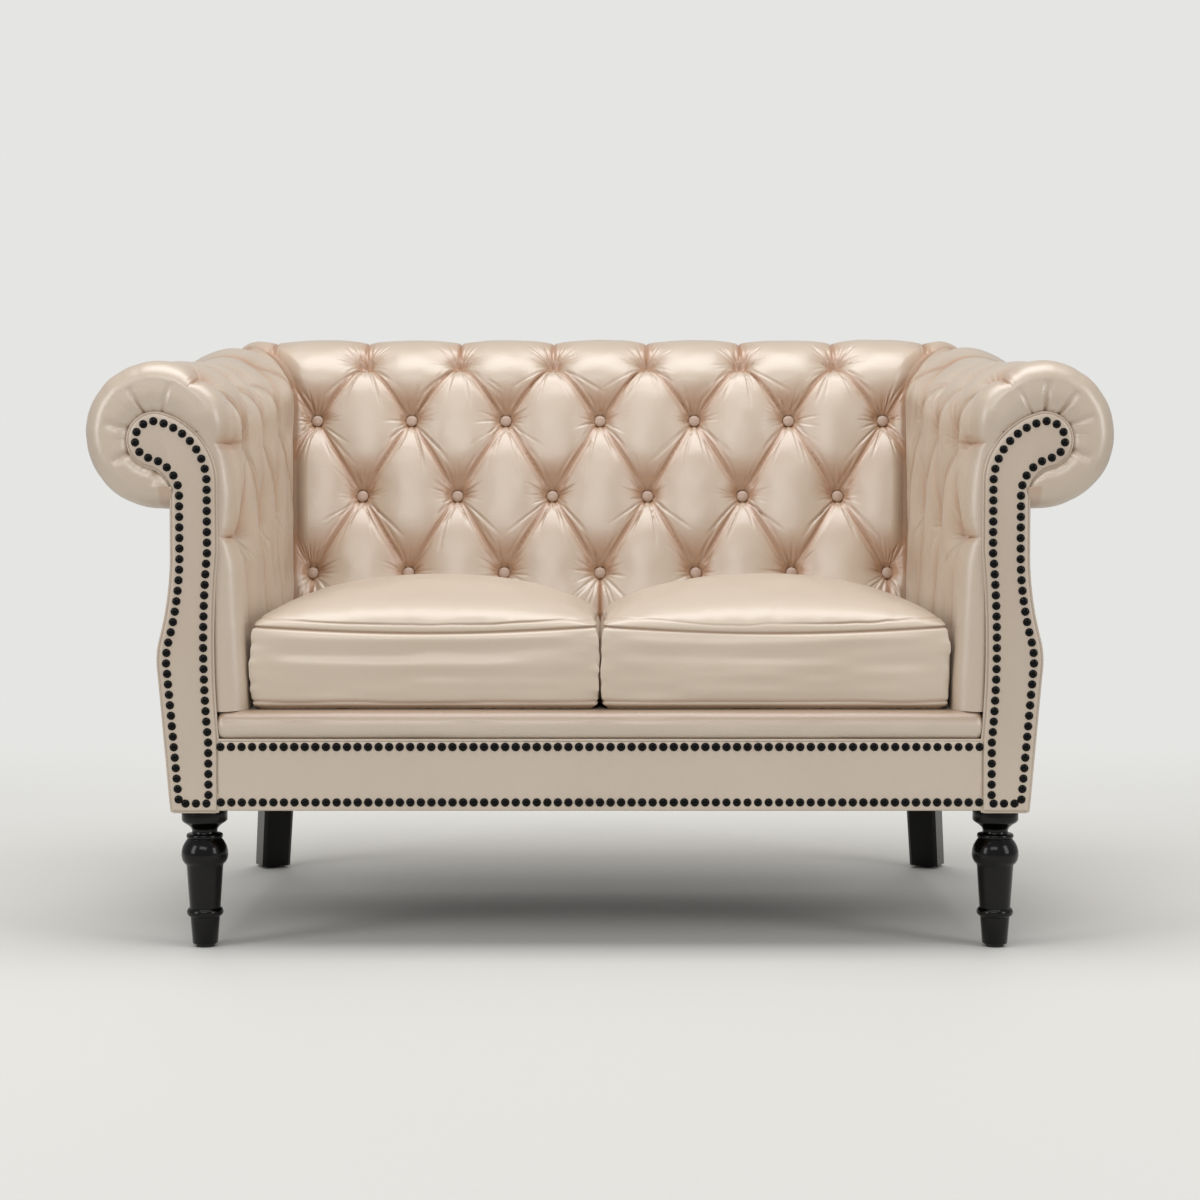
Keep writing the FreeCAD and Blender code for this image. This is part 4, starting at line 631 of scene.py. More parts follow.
def build_arm(name, side):
    low, top = ends("arm")
    v_line = np.linspace(low, top, cells(top - low, ARM_STEP) + 1)
    v = v_line[None, :]

    # Columns run round the pad's front, straight along the arm and into the mitre.
    straight = np.linspace(PAD_FRONT + FRONT_ROUND, ARM_LAST,
                           cells(ARM_LAST - PAD_FRONT - FRONT_ROUND, ARM_STEP) + 1)
    phi = np.linspace(0, math.pi / 2, cells(FRONT_ROUND * math.pi / 2, ARM_STEP) + 1)[:-1]
    shares = np.linspace(0, 1, cells(MITRE_RUN, ARM_STEP) + 1)[1:]
    proud = FRONT_PROUD * smooth(v, -0.06, 0.04)
    u = np.concatenate([PAD_FRONT + FRONT_ROUND * (1 - np.cos(phi)), straight, 0 * shares])[:, None]
    u = u - proud * np.concatenate([np.cos(phi), 0 * straight, 0 * shares])[:, None]
    share = np.concatenate([0 * phi, 0 * straight, shares])[:, None]
    pull = np.concatenate([1 - np.sin(phi), 0 * straight, 0 * shares])[:, None]
    grids = []
    for flat, fold in ((False, FOLD), (True, FOLD_INNER)):
        def depth_of(at_u, at_v):
            drawn_in = FRONT_ROUND * pull
            if flat:
                return np.maximum(np.full_like(at_u, BACKING), drawn_in + SKIN), np.zeros_like(at_u)
            depth, shade = tufting("arm", side, at_u, at_v)
            rows = gathers(70 + side, at_v[0], 0.040) * (1 - smooth(at_u, PAD_FRONT + 0.01, -0.365))
            rows = rows * smooth(at_v, 0.03, 0.12)
            fine = np.abs(noise(91 + side, at_u, at_v, 0.021, 0.075)) ** 0.7
            broad = noise(97 + side, at_u, at_v, 0.040, 0.110)
            streak = smooth(at_u, -0.34, -0.22) * (1 - smooth(at_v, 0.04, 0.12))
            calm = 1 - 0.45 * smooth(at_u, -0.31, -0.20) * (1 - smooth(at_v, 0.0, 0.08))
            sag = smooth(at_u, -0.22, 0.12) * smooth(at_v, 0.0, 0.10) * (1 - smooth(at_v, 0.20, 0.34))
            depth = depth * calm * (1 - pull) + drawn_in + CREST_SAG * sag - LINE_FOLD * rows
            depth = depth - (STREAK_FINE * fine + STREAK_BROAD * broad) * streak
            # Painted shade: less on the streaks of the inner arm and round the front, more in the valleys
            # of the gathers.
            shade = shade * (1 - 0.45 * streak) + 0.04 * streak
            return depth, np.clip(shade * (1 - pull) - 0.1 * rows, 0, 1)

        points, tones = cover("arm", side, u, share, v, depth_of, fold)
        grids.append(tucked(points, tones, (side * (ROLL_X - NECK_X), 0, TUCK_DROP)))
    (outer, tones), (inner, _) = grids

    # The front is closed from its ring inwards to the board's edge, in folds and wrinkles.
    ring = outer[0][:, [0, 2]] * np.array([side, 1])
    v_all = np.concatenate([v_line, np.full(BACKING_EVERY, v_line[-1])])
    targets = arm_board_targets(v_all, ring)
    end = targets[len(v_line) - 1]
    neck, throat = np.array([[NECK_X, THROAT_Z], [THROAT_X, THROAT_Z]])
    for k, part in enumerate(np.linspace(0, 1, BACKING_EVERY + 1)[1:]):
        spoke = end + (neck - end) * part - throat
        targets[len(v_line) + k] = throat + spoke / np.hypot(*spoke) * THROAT
    rim_line = np.concatenate([[0], np.cumsum(np.hypot(*np.diff(ring, axis=0).T))])
    on_roll = smooth(v_all, 0.03, 0.12)
    folds = gathers(72 + side, rim_line, 0.066, 0.085) * on_roll
    wrinkles = gathers(170 + side, rim_line, 0.017, 0.18) * on_roll
    wrinkles = wrinkles * (0.45 + 0.55 * smooth(noise(75, rim_line, 0, 0.11, 1.0), -0.2, 0.5))
    foremost = np.concatenate([proud[0], np.full(BACKING_EVERY, proud[0, -1])])
    wide = np.hypot(*(targets - ring).T)
    cap, cap_painted_shade = [], []
    for q in np.sin(np.linspace(1, 0, cells(CAP_WIDE, ARM_STEP) + 1)[:-1] * math.pi / 2):
        flat_points = ring + (targets - ring) * q
        fall = 1 - math.sqrt(max(1 - max((q - 0.30) / 0.70, 0) ** 2, 0))
        dome = foremost * (1 - fall) + np.minimum(wide / 0.067, 1) * CAP_DOME * math.sin(math.pi * q)
        gathered = CAP_FOLD * folds * smooth(q, -0.15, 0.6) + CAP_WRINKLE * wrinkles * smooth(q, 0.15, 0.9)
        front = PAD_FRONT - dome - gathered + 0.007 * fall
        cap.append(np.stack([side * flat_points[:, 0], front, flat_points[:, 1]], -1))
        # Painted shade in the gathers and wrinkles, and a painted shadow line where the cap meets the
        # board.
        cap_painted_shade.append(np.clip(-0.45 * folds * q - 0.25 * wrinkles * q + 0.95 * smooth(q, 0.95, 1), 0, 1))
    outer, tones = np.concatenate([cap, outer]), np.concatenate([cap_painted_shade, tones])
    inner = np.concatenate([np.array(cap) + np.array([0, SKIN, 0]), inner])
    inner[:, :, 1] = np.maximum(inner[:, :, 1], PAD_FRONT + SKIN)
    finish_pad(f"arm_padding_{name}", ((outer, tones), (inner, None)), f"inside_arm_pad_{name}")


for name, side in SIDES:
    build_arm(name, side)


# Covered buttons: tin shells with a disc of the same leather pressed round them, drawn down to
# the bottom of each dimple by twine.
def studs(name, places, facings, radius, height, round_count, ring_count, material):
    """Domes of one size at places that face their own way, built by geometry nodes."""
    mesh = bpy.data.meshes.new(name)
    mesh.from_pydata(np.asarray(places, float).tolist(), [], [])
    facing = mesh.attributes.new("facing", "FLOAT_VECTOR", "POINT")
    facing.data.foreach_set("vector", np.asarray(facings, np.float32).reshape(-1))
    piece = placed(name, mesh)
    tree = bpy.data.node_groups.new(name, "GeometryNodeTree")
    sizes = {"Radius": radius, "Dome height": height}
    tree.interface.new_socket("Geometry", in_out="INPUT", socket_type="NodeSocketGeometry")
    for label in sizes:
        tree.interface.new_socket(label, in_out="INPUT", socket_type="NodeSocketFloat")
    tree.interface.new_socket("Geometry", in_out="OUTPUT", socket_type="NodeSocketGeometry")
    given = add(tree, "NodeGroupInput")
    ball = add(tree, "GeometryNodeMeshUVSphere", {"Segments": round_count, "Rings": ring_count,
                                                  "Radius": given.outputs["Radius"]})
    flatten = add(tree, "ShaderNodeMath", {0: given.outputs["Dome height"], 1: given.outputs["Radius"]},
                  operation="DIVIDE")
    scale = add(tree, "ShaderNodeCombineXYZ", {0: 1.0, 1: 1.0, 2: flatten.outputs[0]})
    dome = add(tree, "GeometryNodeTransform", {"Geometry": ball.outputs["Mesh"], "Scale": scale.outputs[0]})
    way = add(tree, "GeometryNodeInputNamedAttribute", {"Name": "facing"}, data_type="FLOAT_VECTOR")
    turn = add(tree, "FunctionNodeAlignRotationToVector", {"Vector": way.outputs["Attribute"]}, axis="Z")
    points = add(tree, "GeometryNodeMeshToPoints", {"Mesh": given.outputs["Geometry"]})
    copies = add(tree, "GeometryNodeInstanceOnPoints", {
        "Points": points.outputs[0], "Instance": dome.outputs[0], "Rotation": turn.outputs[0]})
    real = add(tree, "GeometryNodeRealizeInstances", {"Geometry": copies.outputs[0]})
    soft = add(tree, "GeometryNodeSetShadeSmooth", {"Geometry": real.outputs[0]})
    done = add(tree, "GeometryNodeSetMaterial", {"Geometry": soft.outputs[0], "Material": material})
    tree.links.new(done.outputs[0], add(tree, "NodeGroupOutput").inputs[0])
    maker = piece.modifiers.new("make", "NODES")
    maker.node_group = tree
    for item in tree.interface.items_tree:
        if item.in_out == "INPUT" and item.name in sizes:
            maker[item.identifier] = sizes[item.name]
    bpy.context.view_layer.update()
    made = bpy.data.meshes.new_from_object(piece.evaluated_get(bpy.context.evaluated_depsgraph_get()))
    piece.modifiers.remove(maker)
    piece.data = made
    made.name = name
    return piece


button_leather = leather("pearl leather, stretched over buttons", "#B0917A", "#A48369", "#8E6B50",
                         12, 0.3, 0.45)
BUTTON, BUTTON_DOME, BUTTON_SUNK, HIDDEN_BY = 0.0098, 0.0028, 0.0255, 0.0135


def button_seats(run, side):
    """Place and facing of each button of a run."""
    places, facings = [], []
    for u, v, _ in button_places(run):
        at = np.array([u if run == "arm" else ROLL_Y])
        reach, height, out_reach, out_z, _ = (value[0] for value in face_at(run, at, np.array([v])))
        deep = BUTTON_SUNK + (HIDDEN_BY if run == "back" and v > 0 else 0)
        across, up = reach - deep * out_reach, height - deep * out_z
        if run == "arm":
            places.append((side * (ROLL_X + across), u, up))
            facings.append((side * out_reach, 0, out_z))
        else:
            places.append((u, ROLL_Y + across, up))
            facings.append((0, out_reach, out_z))
    return places, facings


for run, side, name, node in (("back", 1, "back_buttons_covered", "back_buttons"),
                              ("arm", -1, "arm_buttons_covered_left", "arm_buttons_left"),
                              ("arm", 1, "arm_buttons_covered_right", "arm_buttons_right")):
    piece = studs(name, *button_seats(run, side), BUTTON, BUTTON_DOME, 24, 12, button_leather)
    dressed(piece, button_leather, "button_leather", node)


# Arm facings: a profiled board with thin wadding, covered in smooth leather and welted at its
# edge, and the outside covers of the arms and the back.
FACE_FRONT, FACE_BACK, FACE_BOTTOM = -0.4274, -0.4154, 0.198
WELT, LIP_WELT, WELT_BACK = 0.0024, 0.0022, 0.0062
KNEE, KNEE_Z, KNEE_TOP, KNEE_TOP_Z, BASE = 0.6164, 0.390, 0.6146, 0.436, 0.600
KNEE_ROUND, WAIST_ROUND = 0.125, 0.471
smooth_leather = leather("pearl leather, smooth panels", "#CBBCAA", "#C1B09C", "#8E6A4A", 60, 0.6, 0.42)


def outer_edge(grow, top):
    """The arm's outside from its foot over the knee to the neck, then up to top."""
    line = [(BASE + grow, FACE_BOTTOM), (KNEE + grow, KNEE_Z)]
    line += swept(line[-1], (KNEE_TOP + grow, KNEE_TOP_Z), KNEE_ROUND, 1, 0.006)
    line += swept(line[-1], (NECK_X + grow, WAIST_Z), WAIST_ROUND, -1, 0.006)
    return np.array(line + [(NECK_X + grow, z) for z in np.linspace(WAIST_Z, top, 6)[1:]])


def resampled(line, step, closed=False):
    """The same line with evenly spaced points."""
    line = np.asarray(line, float)
    if closed:
        line = np.concatenate([line, line[:1]])
    gone = np.concatenate([[0], np.cumsum(np.linalg.norm(np.diff(line, axis=0), axis=1))])
    count = max(2, round(gone[-1] / step))
    at = np.linspace(0, gone[-1], count + 1)
    made = np.stack([np.interp(at, gone, line[:, k]) for k in range(line.shape[1])], 1)
    return made[:-1] if closed else made


def inset(loop, by):
    """A closed outline drawn in by a distance along its own normals."""
    ahead, behind = np.roll(loop, -1, 0), np.roll(loop, 1, 0)
    way = ahead - behind
    normal = np.stack([-way[:, 1], way[:, 0]], 1) / np.linalg.norm(way, axis=1)[:, None]
    area = np.sum(loop[:, 0] * ahead[:, 1] - ahead[:, 0] * loop[:, 1])
    return loop + normal * by * (1 if area > 0 else -1)


def tube(rings, closed=False):
    """Vertices and faces of a tube through rings of points, closed on itself or capped at its ends."""
    count, around = rings.shape[:2]
    index = np.arange(count * around).reshape(count, around)
    looped = np.concatenate([index, index[:, :1]], 1)
    if closed:
        return rings.reshape(-1, 3), quads(np.concatenate([looped, looped[:1]]))
    return rings.reshape(-1, 3), quads(looped) + [index[0].tolist()[::-1], index[-1].tolist()]


def cord_round(path, radius, closed=False):
    """A thin welt of leather along a path, as a closed tube."""
    path = np.asarray(path)
    ahead, behind = np.roll(path, -1, 0), np.roll(path, 1, 0)
    if not closed:
        ahead[-1], behind[0] = path[-1], path[0]
    way = ahead - behind
    way /= np.linalg.norm(way, axis=1)[:, None]
    beside = np.cross(way, [0.0, 1.0, 0.0])
    beside /= np.linalg.norm(beside, axis=1)[:, None]
    other = np.cross(way, beside)
    rings = [path + radius * (math.cos(a) * beside + math.sin(a) * other)
             for a in np.linspace(0, 2 * math.pi, 11)[:-1]]
    return tube(np.stack(rings, 1), closed)


def joined(parts):
    """Vertices and faces of several shells in one."""
    vertices, faces, base = [], [], 0
    for some, more in parts:
        vertices.append(np.asarray(some))
        faces += [[index + base for index in face] for face in more]
        base += len(some)
    return np.concatenate(vertices), faces


def build_facing(name, side):
    loop = np.concatenate([inner_edge(FACE_BOTTOM), outer_edge(0, THROAT_Z - 0.004)[::-1]])
    loop = resampled(loop, 0.003, closed=True)
    profile = [(0.0, FACE_BACK), (0.0, FACE_FRONT + 0.0032), (0.0004, FACE_FRONT + 0.0018),
               (0.0014, FACE_FRONT + 0.0006), (0.003, FACE_FRONT), (0.006, FACE_FRONT - 0.0004)]
    foot = loop[:, 1] < FACE_BOTTOM + 0.0035
    inner, outer = loop[foot, 0].min(), loop[foot, 0].max()
    rings = []
    for inward, y in profile:
        ring = inset(loop, inward)
        ring[foot, 0] = np.clip(ring[foot, 0], inner + inward, outer - inward)
        ring[:, 1] = np.maximum(ring[:, 1], FACE_BOTTOM + inward)
        rings.append(np.stack([side * ring[:, 0], np.full(len(ring), y), ring[:, 1]], 1))
    line = inset(loop, -0.0012)
    welt = np.stack([side * line[:, 0], np.full(len(line), FACE_FRONT + WELT_BACK), line[:, 1]], 1)
    vertices, faces = joined([tube(np.array(rings)), cord_round(welt, WELT, True)])
    # Painted shade over the whole facing, darker towards its top.
    piece = closed_mesh(f"facing_{name}", vertices, faces, 0.14 + 0.16 * smooth(vertices[:, 2], 0.25, 0.45))
    piece.data.set_sharp_from_angle(angle=math.radians(50))
    dressed(piece, smooth_leather, "smooth_leather", f"arm_facing_{name}")


for name, side in SIDES:
    build_facing(name, side)

BACK_PLANE, PANEL_IN, PANEL_OUT, ROLL_DROP = 0.304, 0.0004, 0.0041, 0.1055


def panel_line(grow, roll_z):
    """65 points up the outside of an arm to the underside of a roll."""
    line = resampled(outer_edge(grow, float(roll_z) - ROLL_DROP), 0.001)
    return line[np.linspace(0, len(line) - 1, 65).round().astype(int)]


def build_side_panel(name, side):
    grids = []
    for grow, swell in ((PANEL_OUT, 0.0012), (PANEL_IN, 0.0)):
        grid = []
        for y in np.linspace(FACE_BACK, BACK_PLANE, 61):
            line = panel_line(grow, roll_height("arm", y))
            puff = swell * noise(7, y, line[:, 1], 0.12, 0.09)
            grid.append(np.stack([side * (line[:, 0] + puff), np.full(len(line), y), line[:, 1]], 1))
        grids.append(np.array(grid))
    piece = backed(f"outside_arm_{name}", *grids)
    dressed(piece, smooth_leather, "smooth_leather", f"outside_arm_panel_{name}")


for name, side in SIDES:
    build_side_panel(name, side)


def build_back_panel():
    half = panel_line(PANEL_OUT, BACK_RISE)
    across = np.linspace(-1, 1, 97)[:, None]
    x, z = np.broadcast_arrays(across * half[:, 0], half[:, 1])
    grids = []
    for y, swell in ((BACK_PLANE + 0.0037, 0.0012), (BACK_PLANE + 0.0002, 0.0)):
        grids.append(np.stack([x, y + swell * noise(5, x, z, 0.16, 0.12) * (1 - across ** 8), z], -1))
    dressed(backed("outside_back", *grids), smooth_leather, "smooth_leather", "outside_back_panel")


build_back_panel()


# Seat front: an apron of smooth leather stretched over the front rail, and above it a lip of
# wadding under the same leather, which rolls over the rail's top edge and is welted along its foot.
APRON_FRONT, APRON_BACK, APRON_HALF, RAIL_TOP = -0.4234, -0.4174, 0.5371, 0.296
LIP_END, LIP_BACK, LIP_NOSE = 0.5365, -0.3814, 0.0195


def build_apron():
    x, z = np.broadcast_arrays(np.linspace(-APRON_HALF, APRON_HALF, 241)[:, None],
                               np.linspace(FACE_BOTTOM, RAIL_TOP, 49))
    soft = 0.0016 * (1 - np.clip(np.minimum(z - FACE_BOTTOM, RAIL_TOP - z) / 0.004, 0, 1)) ** 2
    front = np.stack([x, APRON_FRONT + soft - 0.0009 * noise(3, x, z, 0.10, 0.05), z], -1)
    rear = np.stack([x, np.full_like(x, APRON_BACK), z], -1)
    dressed(backed("apron_covered", front, rear), smooth_leather, "smooth_leather", "front_apron")


def build_lip():
    nose, top, low = FACE_FRONT + 0.0004 + LIP_NOSE, DECK - 0.0004, RAIL_TOP + 0.0004
    line = [(LIP_BACK, low), (nose, low)]
    line += [(nose - LIP_NOSE * math.sin(a), (low + top) / 2 - (top - low) / 2 * math.cos(a))
             for a in np.linspace(0, math.pi, 25)[1:-1]]
    line = resampled(line + [(nose, top), (LIP_BACK, top)], 0.0025, closed=True)
    middle = np.array([LIP_BACK - 0.02, (low + top) / 2])
    x = np.linspace(-LIP_END, LIP_END, 361)[:, None]
    left = np.clip((LIP_END - np.abs(x)) / 0.012, 0, 1)
    shrink = 1 - (1 - np.sqrt(1 - (1 - left) ** 2)) * 0.25
    y, z = ((middle + (line - middle) * shrink[:, None])[..., axis] for axis in (0, 1))
    wave = 0.0007 * noise(17, x, line[:, 1] * 3, 0.06, 0.03)
    rings = np.stack([np.broadcast_to(x, z.shape), y + wave, z], -1)
    path = [(x, FACE_FRONT + WELT_BACK, RAIL_TOP + 0.0012) for x in np.linspace(-LIP_END, LIP_END, 120)]
    vertices, faces = joined([tube(rings), cord_round(path, LIP_WELT)])
    # Painted shadow: the lip's top turns brown under the cushions' overhang.
    piece = closed_mesh("lip_padding", vertices, faces, 0.80 * smooth(vertices[:, 2], 0.318, 0.330))
    piece.data.set_sharp_from_angle(angle=math.radians(60))
    dressed(piece, smooth_leather, "smooth_leather", "seat_lip")


build_apron()
build_lip()


# Upholstery nails: domed steel heads, japanned black, driven a nail's width apart along the
# facings and along both edges of the apron.
NAIL, NAIL_DOME, NAIL_TIP = 0.0062, 0.0030, 0.0026


def finish(name, tones, figure_mm, stretch, detail, dent, dent_mm, sockets):
    """A finish whose tone and dents follow one noise; sockets holds the shader's plain values."""
    material, tree, out = new_material(name)
    spot = add(tree, "ShaderNodeTexCoord").outputs["Object"]
    run = add(tree, "ShaderNodeMapping", {"Vector": spot, "Scale": stretch})
    figure = add(tree, "ShaderNodeTexNoise", {"Vector": run.outputs[0], "Scale": 1000 / figure_mm,
                                              "Detail": detail})
    tone = add(tree, "ShaderNodeMix", {0: figure.outputs["Fac"], 6: hue(tones[0]), 7: hue(tones[1])},
               data_type="RGBA")
    dents = add(tree, "ShaderNodeBump", {"Height": figure.outputs["Fac"], "Strength": dent,
                                         "Distance": dent_mm / 1000})
    shell = add(tree, "ShaderNodeBsdfPrincipled", {
        "Base Color": tone.outputs[2], "Normal": dents.outputs[0], **sockets})
    tree.links.new(shell.outputs[0], out.inputs[0])
    return material


black_nail = finish("japanned steel, black gloss", ("#030202", "#080706"), 3.846, (1.0, 1.0, 1.0), 2.0,
                    0.25, 0.4, {"Roughness": 0.24, "Specular IOR Level": 0.16})

for node in ("apron_nails", "facing_nails_left", "facing_nails_right"):
    # Middles of the nails at the leather's face, from the tips of the node's solids.
    tips = np.array([v.co for v in frame["nodes"][node].data.vertices])
    tips = tips[tips[:, 1] < tips[:, 1].min() + 0.0005]
    places = np.unique(np.round(tips, 4), axis=0) + np.array([0, NAIL_TIP, 0])
    piece = studs(f"{node}_domed", places, [(0, -1, 0)] * len(places), NAIL, NAIL_DOME, 12, 8, black_nail)
    dressed(piece, black_nail, "black_nail", node)


# Seat cushions: loose foam and feather cushions in boxed leather covers, sewn with a sunk seam
# round the top and the bottom, with a fold of loose leather above the upper one. The filling
# crowns them, and they are drawn in between their corners.
CUSHION_IN, CUSHION_OUT, CUSHION_FRONT, CUSHION_BACK = 0.003, 0.493, -0.3974, 0.114
SEAM_Z, CROWN, CROWN_POWER, BOW, BULGE, CORNER_CUT = 0.4520, 0.080, 0.40, 0.004, 0.005, 0.016
SEAM_SUNK, SEAM_WIDE, UNDERCUT = 0.0034, 0.0022, 0.006
# Heights of the cover's waves: on top, at the seams, along the boxing and at its corners.
RIPPLE, PUCKER, RIDGE, FINE_RIDGE, CORNER_RIDGE = 0.0016, 0.0018, 0.0030, 0.0014, 0.0022
TOP_FOLD, LOWER_FOLD, ROLL_UP, ROLL_DOWN = 0.0032, 0.0022, 0.0024, 0.0014
cushion_leather = leather("pearl leather, seat cushions", "#D0BFAB", "#C7B49E", "#9C7352", 70, 1.0, 0.46)


def build_cushion(name, side):
    """Top, boxing and bottom as grids that share their edges."""
    count = 164
    tall, seed = 48, 40 + side
    wide, deep = CUSHION_OUT - CUSHION_IN, CUSHION_BACK - CUSHION_FRONT
    bottom = DECK + 0.0006
    box = SEAM_Z - bottom

    def plan(a, d, out):
        p, q = 2 * a - 1, 2 * d - 1
        x = p * (1 - CORNER_CUT * np.abs(q) ** 20)
        y = q * (1 - CORNER_CUT * np.abs(p) ** 20)
        x = x + (out - BOW * np.cos(math.pi * q / 2)) / (wide / 2) * p
        y = y + (out - BOW * np.cos(math.pi * p / 2)) / (deep / 2) * q
        return CUSHION_IN + wide * (x + 1) / 2, CUSHION_FRONT + deep * (y + 1) / 2

    def droop(a, d):
        """Drop of the seam between the corners, where the cover is drawn up."""
        along, back = np.cos(math.pi * (a - 0.5)), np.cos(math.pi * (d - 0.5))
        return 0.003 - 0.009 * (np.abs(along) ** 4 + np.abs(back) ** 4) ** 0.25

    # Lines of the grid lie closer together near the edges, where the crown climbs fastest.
    half = np.linspace(0, 0.5, 20001)
    climb = np.maximum(np.sin(math.pi * half), 0) ** CROWN_POWER * CROWN
    gone = np.concatenate([[0], np.cumsum(np.hypot(np.diff(half) * wide, np.diff(climb)))])
    density = 1 / (0.0011 + 0.0038 * smooth(gone, 0.022, 0.060))
    reach = np.concatenate([[0], np.cumsum(np.diff(gone) * density[1:])])
    near = np.interp(np.linspace(0, reach[-1], count // 2 + 1), reach, half)
    ease = np.concatenate([near, 1 - near[-2::-1]])

    # Top: the crown with ripples, puckers along the edges and the loose fold above the seam.
    a, d = np.meshgrid(ease, ease, indexing="ij")
    crown = np.maximum(np.sin(math.pi * a) * np.sin(math.pi * d), 0) ** CROWN_POWER
    edge_a, edge_d = np.minimum(a, 1 - a) * wide, np.minimum(d, 1 - d) * deep
    x, y = plan(a, d, 0.0)
    rise = CROWN * crown
    ripple = RIPPLE * noise(seed, x, y, 0.085, 0.050) * smooth(np.minimum(edge_a, edge_d), 0.0, 0.08)
    pucker = (noise(seed + 9, x, y, 0.014, 0.060) * np.exp(-edge_d / 0.034)
              + noise(seed + 5, x, y, 0.060, 0.014) * np.exp(-edge_a / 0.034))
    pucker *= PUCKER * smooth(np.minimum(edge_a, edge_d), 0, 0.008)
    fold_at = (0.0125 + 0.0022 * noise(seed + 12, x, y, 0.09, 0.09)
               + 0.0010 * noise(seed + 13, x, y, 0.03, 0.03))
    fold = (0.6 + 0.4 * noise(seed + 14, x, y, 0.12, 0.12)) * bell(rise - fold_at, 0.0016)
    seam = bell(rise, SEAM_WIDE)
    x, y = plan(a, d, -TOP_FOLD * fold - SEAM_SUNK * seam)
    top = np.stack([side * x, y, SEAM_Z + droop(a, d) + rise + ripple + pucker], -1)
    # Painted shade: dark lines along the loose fold and in the sunk seam.
    top_painted_shade = np.clip(0.90 * fold + 0.97 * seam ** 2, 0, 1)

    # Bottom, and the boxing round the rim that both share.
    low_x, low_y = plan(a, d, -UNDERCUT)
    low = np.stack([side * low_x, low_y, np.full_like(x, bottom)], -1)
    rim = np.array([(k, 0) for k in range(count)] + [(count, k) for k in range(count)]
                   + [(k, count) for k in range(count, 0, -1)] + [(0, k) for k in range(count, 0, -1)]).T
    ra, rd = ease[rim]
    rx, ry = plan(ra, rd, 0.0)
    length = np.concatenate([[0], np.cumsum(np.hypot(np.diff(rx), np.diff(ry)))])
    corner = np.minimum(ra, 1 - ra) * wide + np.minimum(rd, 1 - rd) * deep
    even = np.linspace(0, 1, tall + 1)[:, None]
    t = (1 - np.cos(math.pi * even)) / 4 + even / 2
    height = t * box
    calm = smooth(corner, 0.004, 0.070)
    ridge = (RIDGE * noise(seed + 2, length, height, 0.15, 0.022)
             + FINE_RIDGE * noise(seed + 3, length, height, 0.075, 0.013)) * calm
    ridge += CORNER_RIDGE * noise(seed + 4, length, height, 0.030, 0.009) * np.exp(-corner / 0.014)
    wave = height - box + 0.013 - 0.004 * noise(seed + 7, length, 0, 0.12, 1.0)
    roll = (ROLL_UP * bell(wave, 0.009) - ROLL_DOWN * bell(wave + 0.021, 0.012)) * calm
    seam, under = bell(box - height, SEAM_WIDE), bell(height, 0.0042)
    lower = bell(height - 0.0105 - 0.0012 * noise(seed + 6, length, 0, 0.07, 1.0), 0.0016)
    swell = np.sin(math.pi * t)
    out = BULGE * swell ** 0.5 + (ridge + roll) * swell ** 0.35 - SEAM_SUNK * seam - LOWER_FOLD * lower
    rx, ry = plan(ra, rd, out * (1 - under) - UNDERCUT * under)
    sides = np.stack([side * rx, ry, bottom + height + t * droop(ra, rd)], -1)
    # Painted shade: dark lines at the upper seam and the lower fold, and a painted shadow in the undercut
    # at the foot.
    side_painted_shade = np.clip(0.97 * seam ** 2 + 0.8 * lower + 0.95 * under, 0, 1)
    sides[0], sides[-1] = low[tuple(rim)], top[tuple(rim)]

    grid = (count + 1) ** 2
    vertices = np.concatenate([top.reshape(-1, 3), low.reshape(-1, 3), sides.reshape(-1, 3)])
    tones = np.concatenate([top_painted_shade.reshape(-1), np.zeros(grid), side_painted_shade.reshape(-1)])
    flat = np.arange(grid).reshape(count + 1, -1)
    boxing = 2 * grid + np.arange(side_painted_shade.size).reshape(tall + 1, -1)
    faces = quads(flat) + quads(flat + grid) + quads(np.concatenate([boxing, boxing[:, :1]], 1))
    piece = closed_mesh(f"cushion_{name}", vertices, faces, tones, weld=0.00002)
    dressed(piece, cushion_leather, "cushion_leather", f"seat_cushion_cover_{name}",
            f"seat_cushion_core_{name}", body=f"seat_cushion_{name}")


for name, side in SIDES:
    build_cushion(name, side)


# Front legs: turned from a square of beech and bolted to the corner blocks, then sprayed with
# black gloss lacquer, as are the square rear legs, which keep their own solids.
LEG_X, LEG_Y = 0.562, -0.3844
LEG_PROFILE = (
    # radius and height, from the foot up to the square's seat
    (0.0168, 0.0042), (0.0178, 0.0052), (0.0208, 0.0430), (0.0236, 0.0444), (0.0254, 0.0470),
    (0.0258, 0.0495), (0.0254, 0.0520), (0.0236, 0.0546), (0.0217, 0.0556), (0.0219, 0.0600),
    (0.0240, 0.0900), (0.0256, 0.1140), (0.0262, 0.1175), (0.0292, 0.1198), (0.0318, 0.1245),
    (0.0330, 0.1305), (0.0326, 0.1370), (0.0306, 0.1440), (0.0272, 0.1500), (0.0244, 0.1536),
    (0.0238, 0.1546), (0.0252, 0.1556), (0.0258, 0.1580), (0.0252, 0.1604), (0.0236, 0.1614),
    (0.0186, 0.1622), (0.0178, 0.1640), (0.0180, 0.1672), (0.0196, 0.1702), (0.0240, 0.1742),
    (0.0296, 0.1778), (0.0318, 0.1800), (0.0322, 0.1824), (0.0322, 0.1940), (0.0314, 0.1968),
    (0.0300, 0.1970),
)
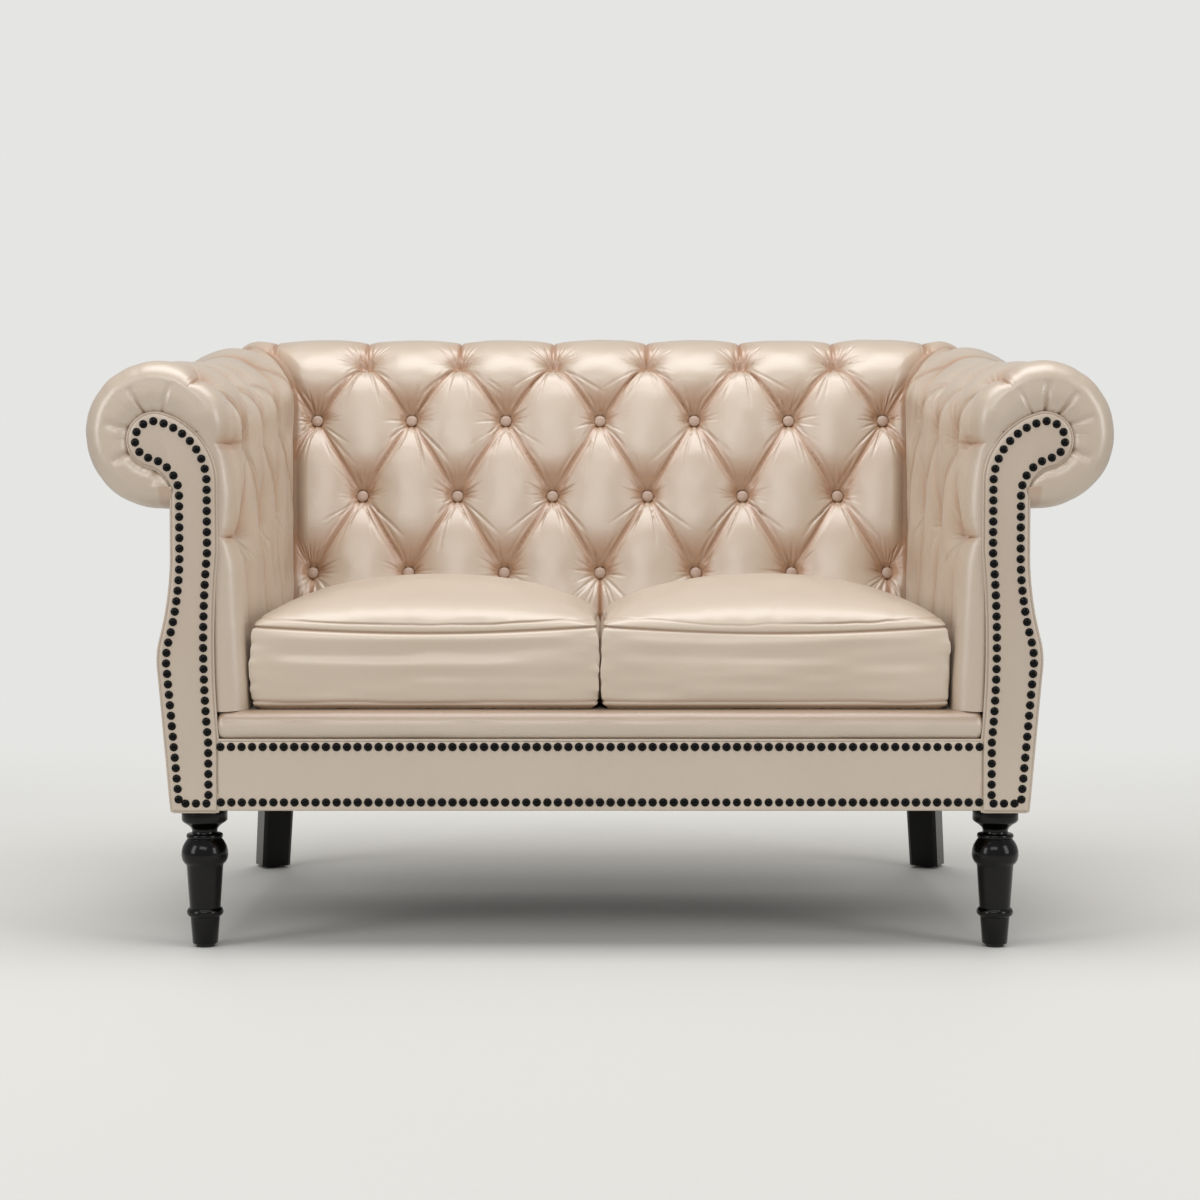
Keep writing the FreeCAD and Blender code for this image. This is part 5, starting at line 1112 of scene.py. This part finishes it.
black_lacquer = finish("beech, black gloss lacquer", ("#030202", "#080706"), 2.381, (1.0, 1.0, 0.12), 3.0,
                       0.12, 0.3, {"Roughness": 0.26, "Specular IOR Level": 0.10, "Coat Weight": 0.4,
                                   "Coat Roughness": 0.07})


def painted(node, material):
    """Gives a solid that stays in the scene its finish."""
    frame["nodes"][node].data.materials.clear()
    frame["nodes"][node].data.materials.append(material)


for name, side in SIDES:
    angles = np.linspace(0, 2 * math.pi, 73)[:-1]
    rings = [[(side * LEG_X + radius * math.cos(a), LEG_Y + radius * math.sin(a), z) for a in angles]
             for radius, z in LEG_PROFILE]
    piece = closed_mesh(f"turned_leg_{name}", *tube(np.array(rings)))
    piece.data.set_sharp_from_angle(angle=math.radians(55))
    dressed(piece, black_lacquer, "black_lacquer", f"front_leg_{name}")
    painted(f"rear_leg_{name}", black_lacquer)


# Inner frame and linings, mostly out of sight: planed beech rails and posts, screwed and glued,
# black lining cloth, wadding, drawn steel springs and bolts, and moulded glides.
HIDDEN = {
    # name, tones, figure in mm, its stretch, depth of the dents in mm, roughness, metallic
    "frame_timber": ("beech, planed", ("#C9A77C", "#A98459"), 16.667, (0.15, 1, 1), 0.2, 0.6, 0.0),
    "lining_cloth": ("black lining cloth, woven", ("#1D1C1B", "#2B2927"), 1.111, (1, 1, 1), 0.3, 0.9, 0.0),
    "filling": ("cotton wadding", ("#EDE6D8", "#DDD3C0"), 11.111, (1, 1, 1), 1.0, 0.95, 0.0),
    "steel": ("spring steel, drawn", ("#8A8B8D", "#6E6F72"), 3.333, (1, 0.1, 1), 0.1, 0.4, 1.0),
    "glide_plastic": ("nylon glide, moulded", ("#1A1A1A", "#232323"), 2.0, (1, 1, 1), 0.1, 0.55, 0.0),
}
hidden = {slot: finish(name, tones, figure_mm, stretch, 4.0, 0.4, dent_mm,
                       {"Roughness": roughness, "Metallic": metallic})
          for slot, (name, tones, figure_mm, stretch, dent_mm, roughness, metallic) in HIDDEN.items()}
for part in frame["record"]["subparts"]:
    if not frame["nodes"][part["node"]].hide_render and part["material_slot"] in hidden:
        painted(part["node"], hidden[part["material_slot"]])


bpy.context.scene.view_settings.view_transform = "Standard"
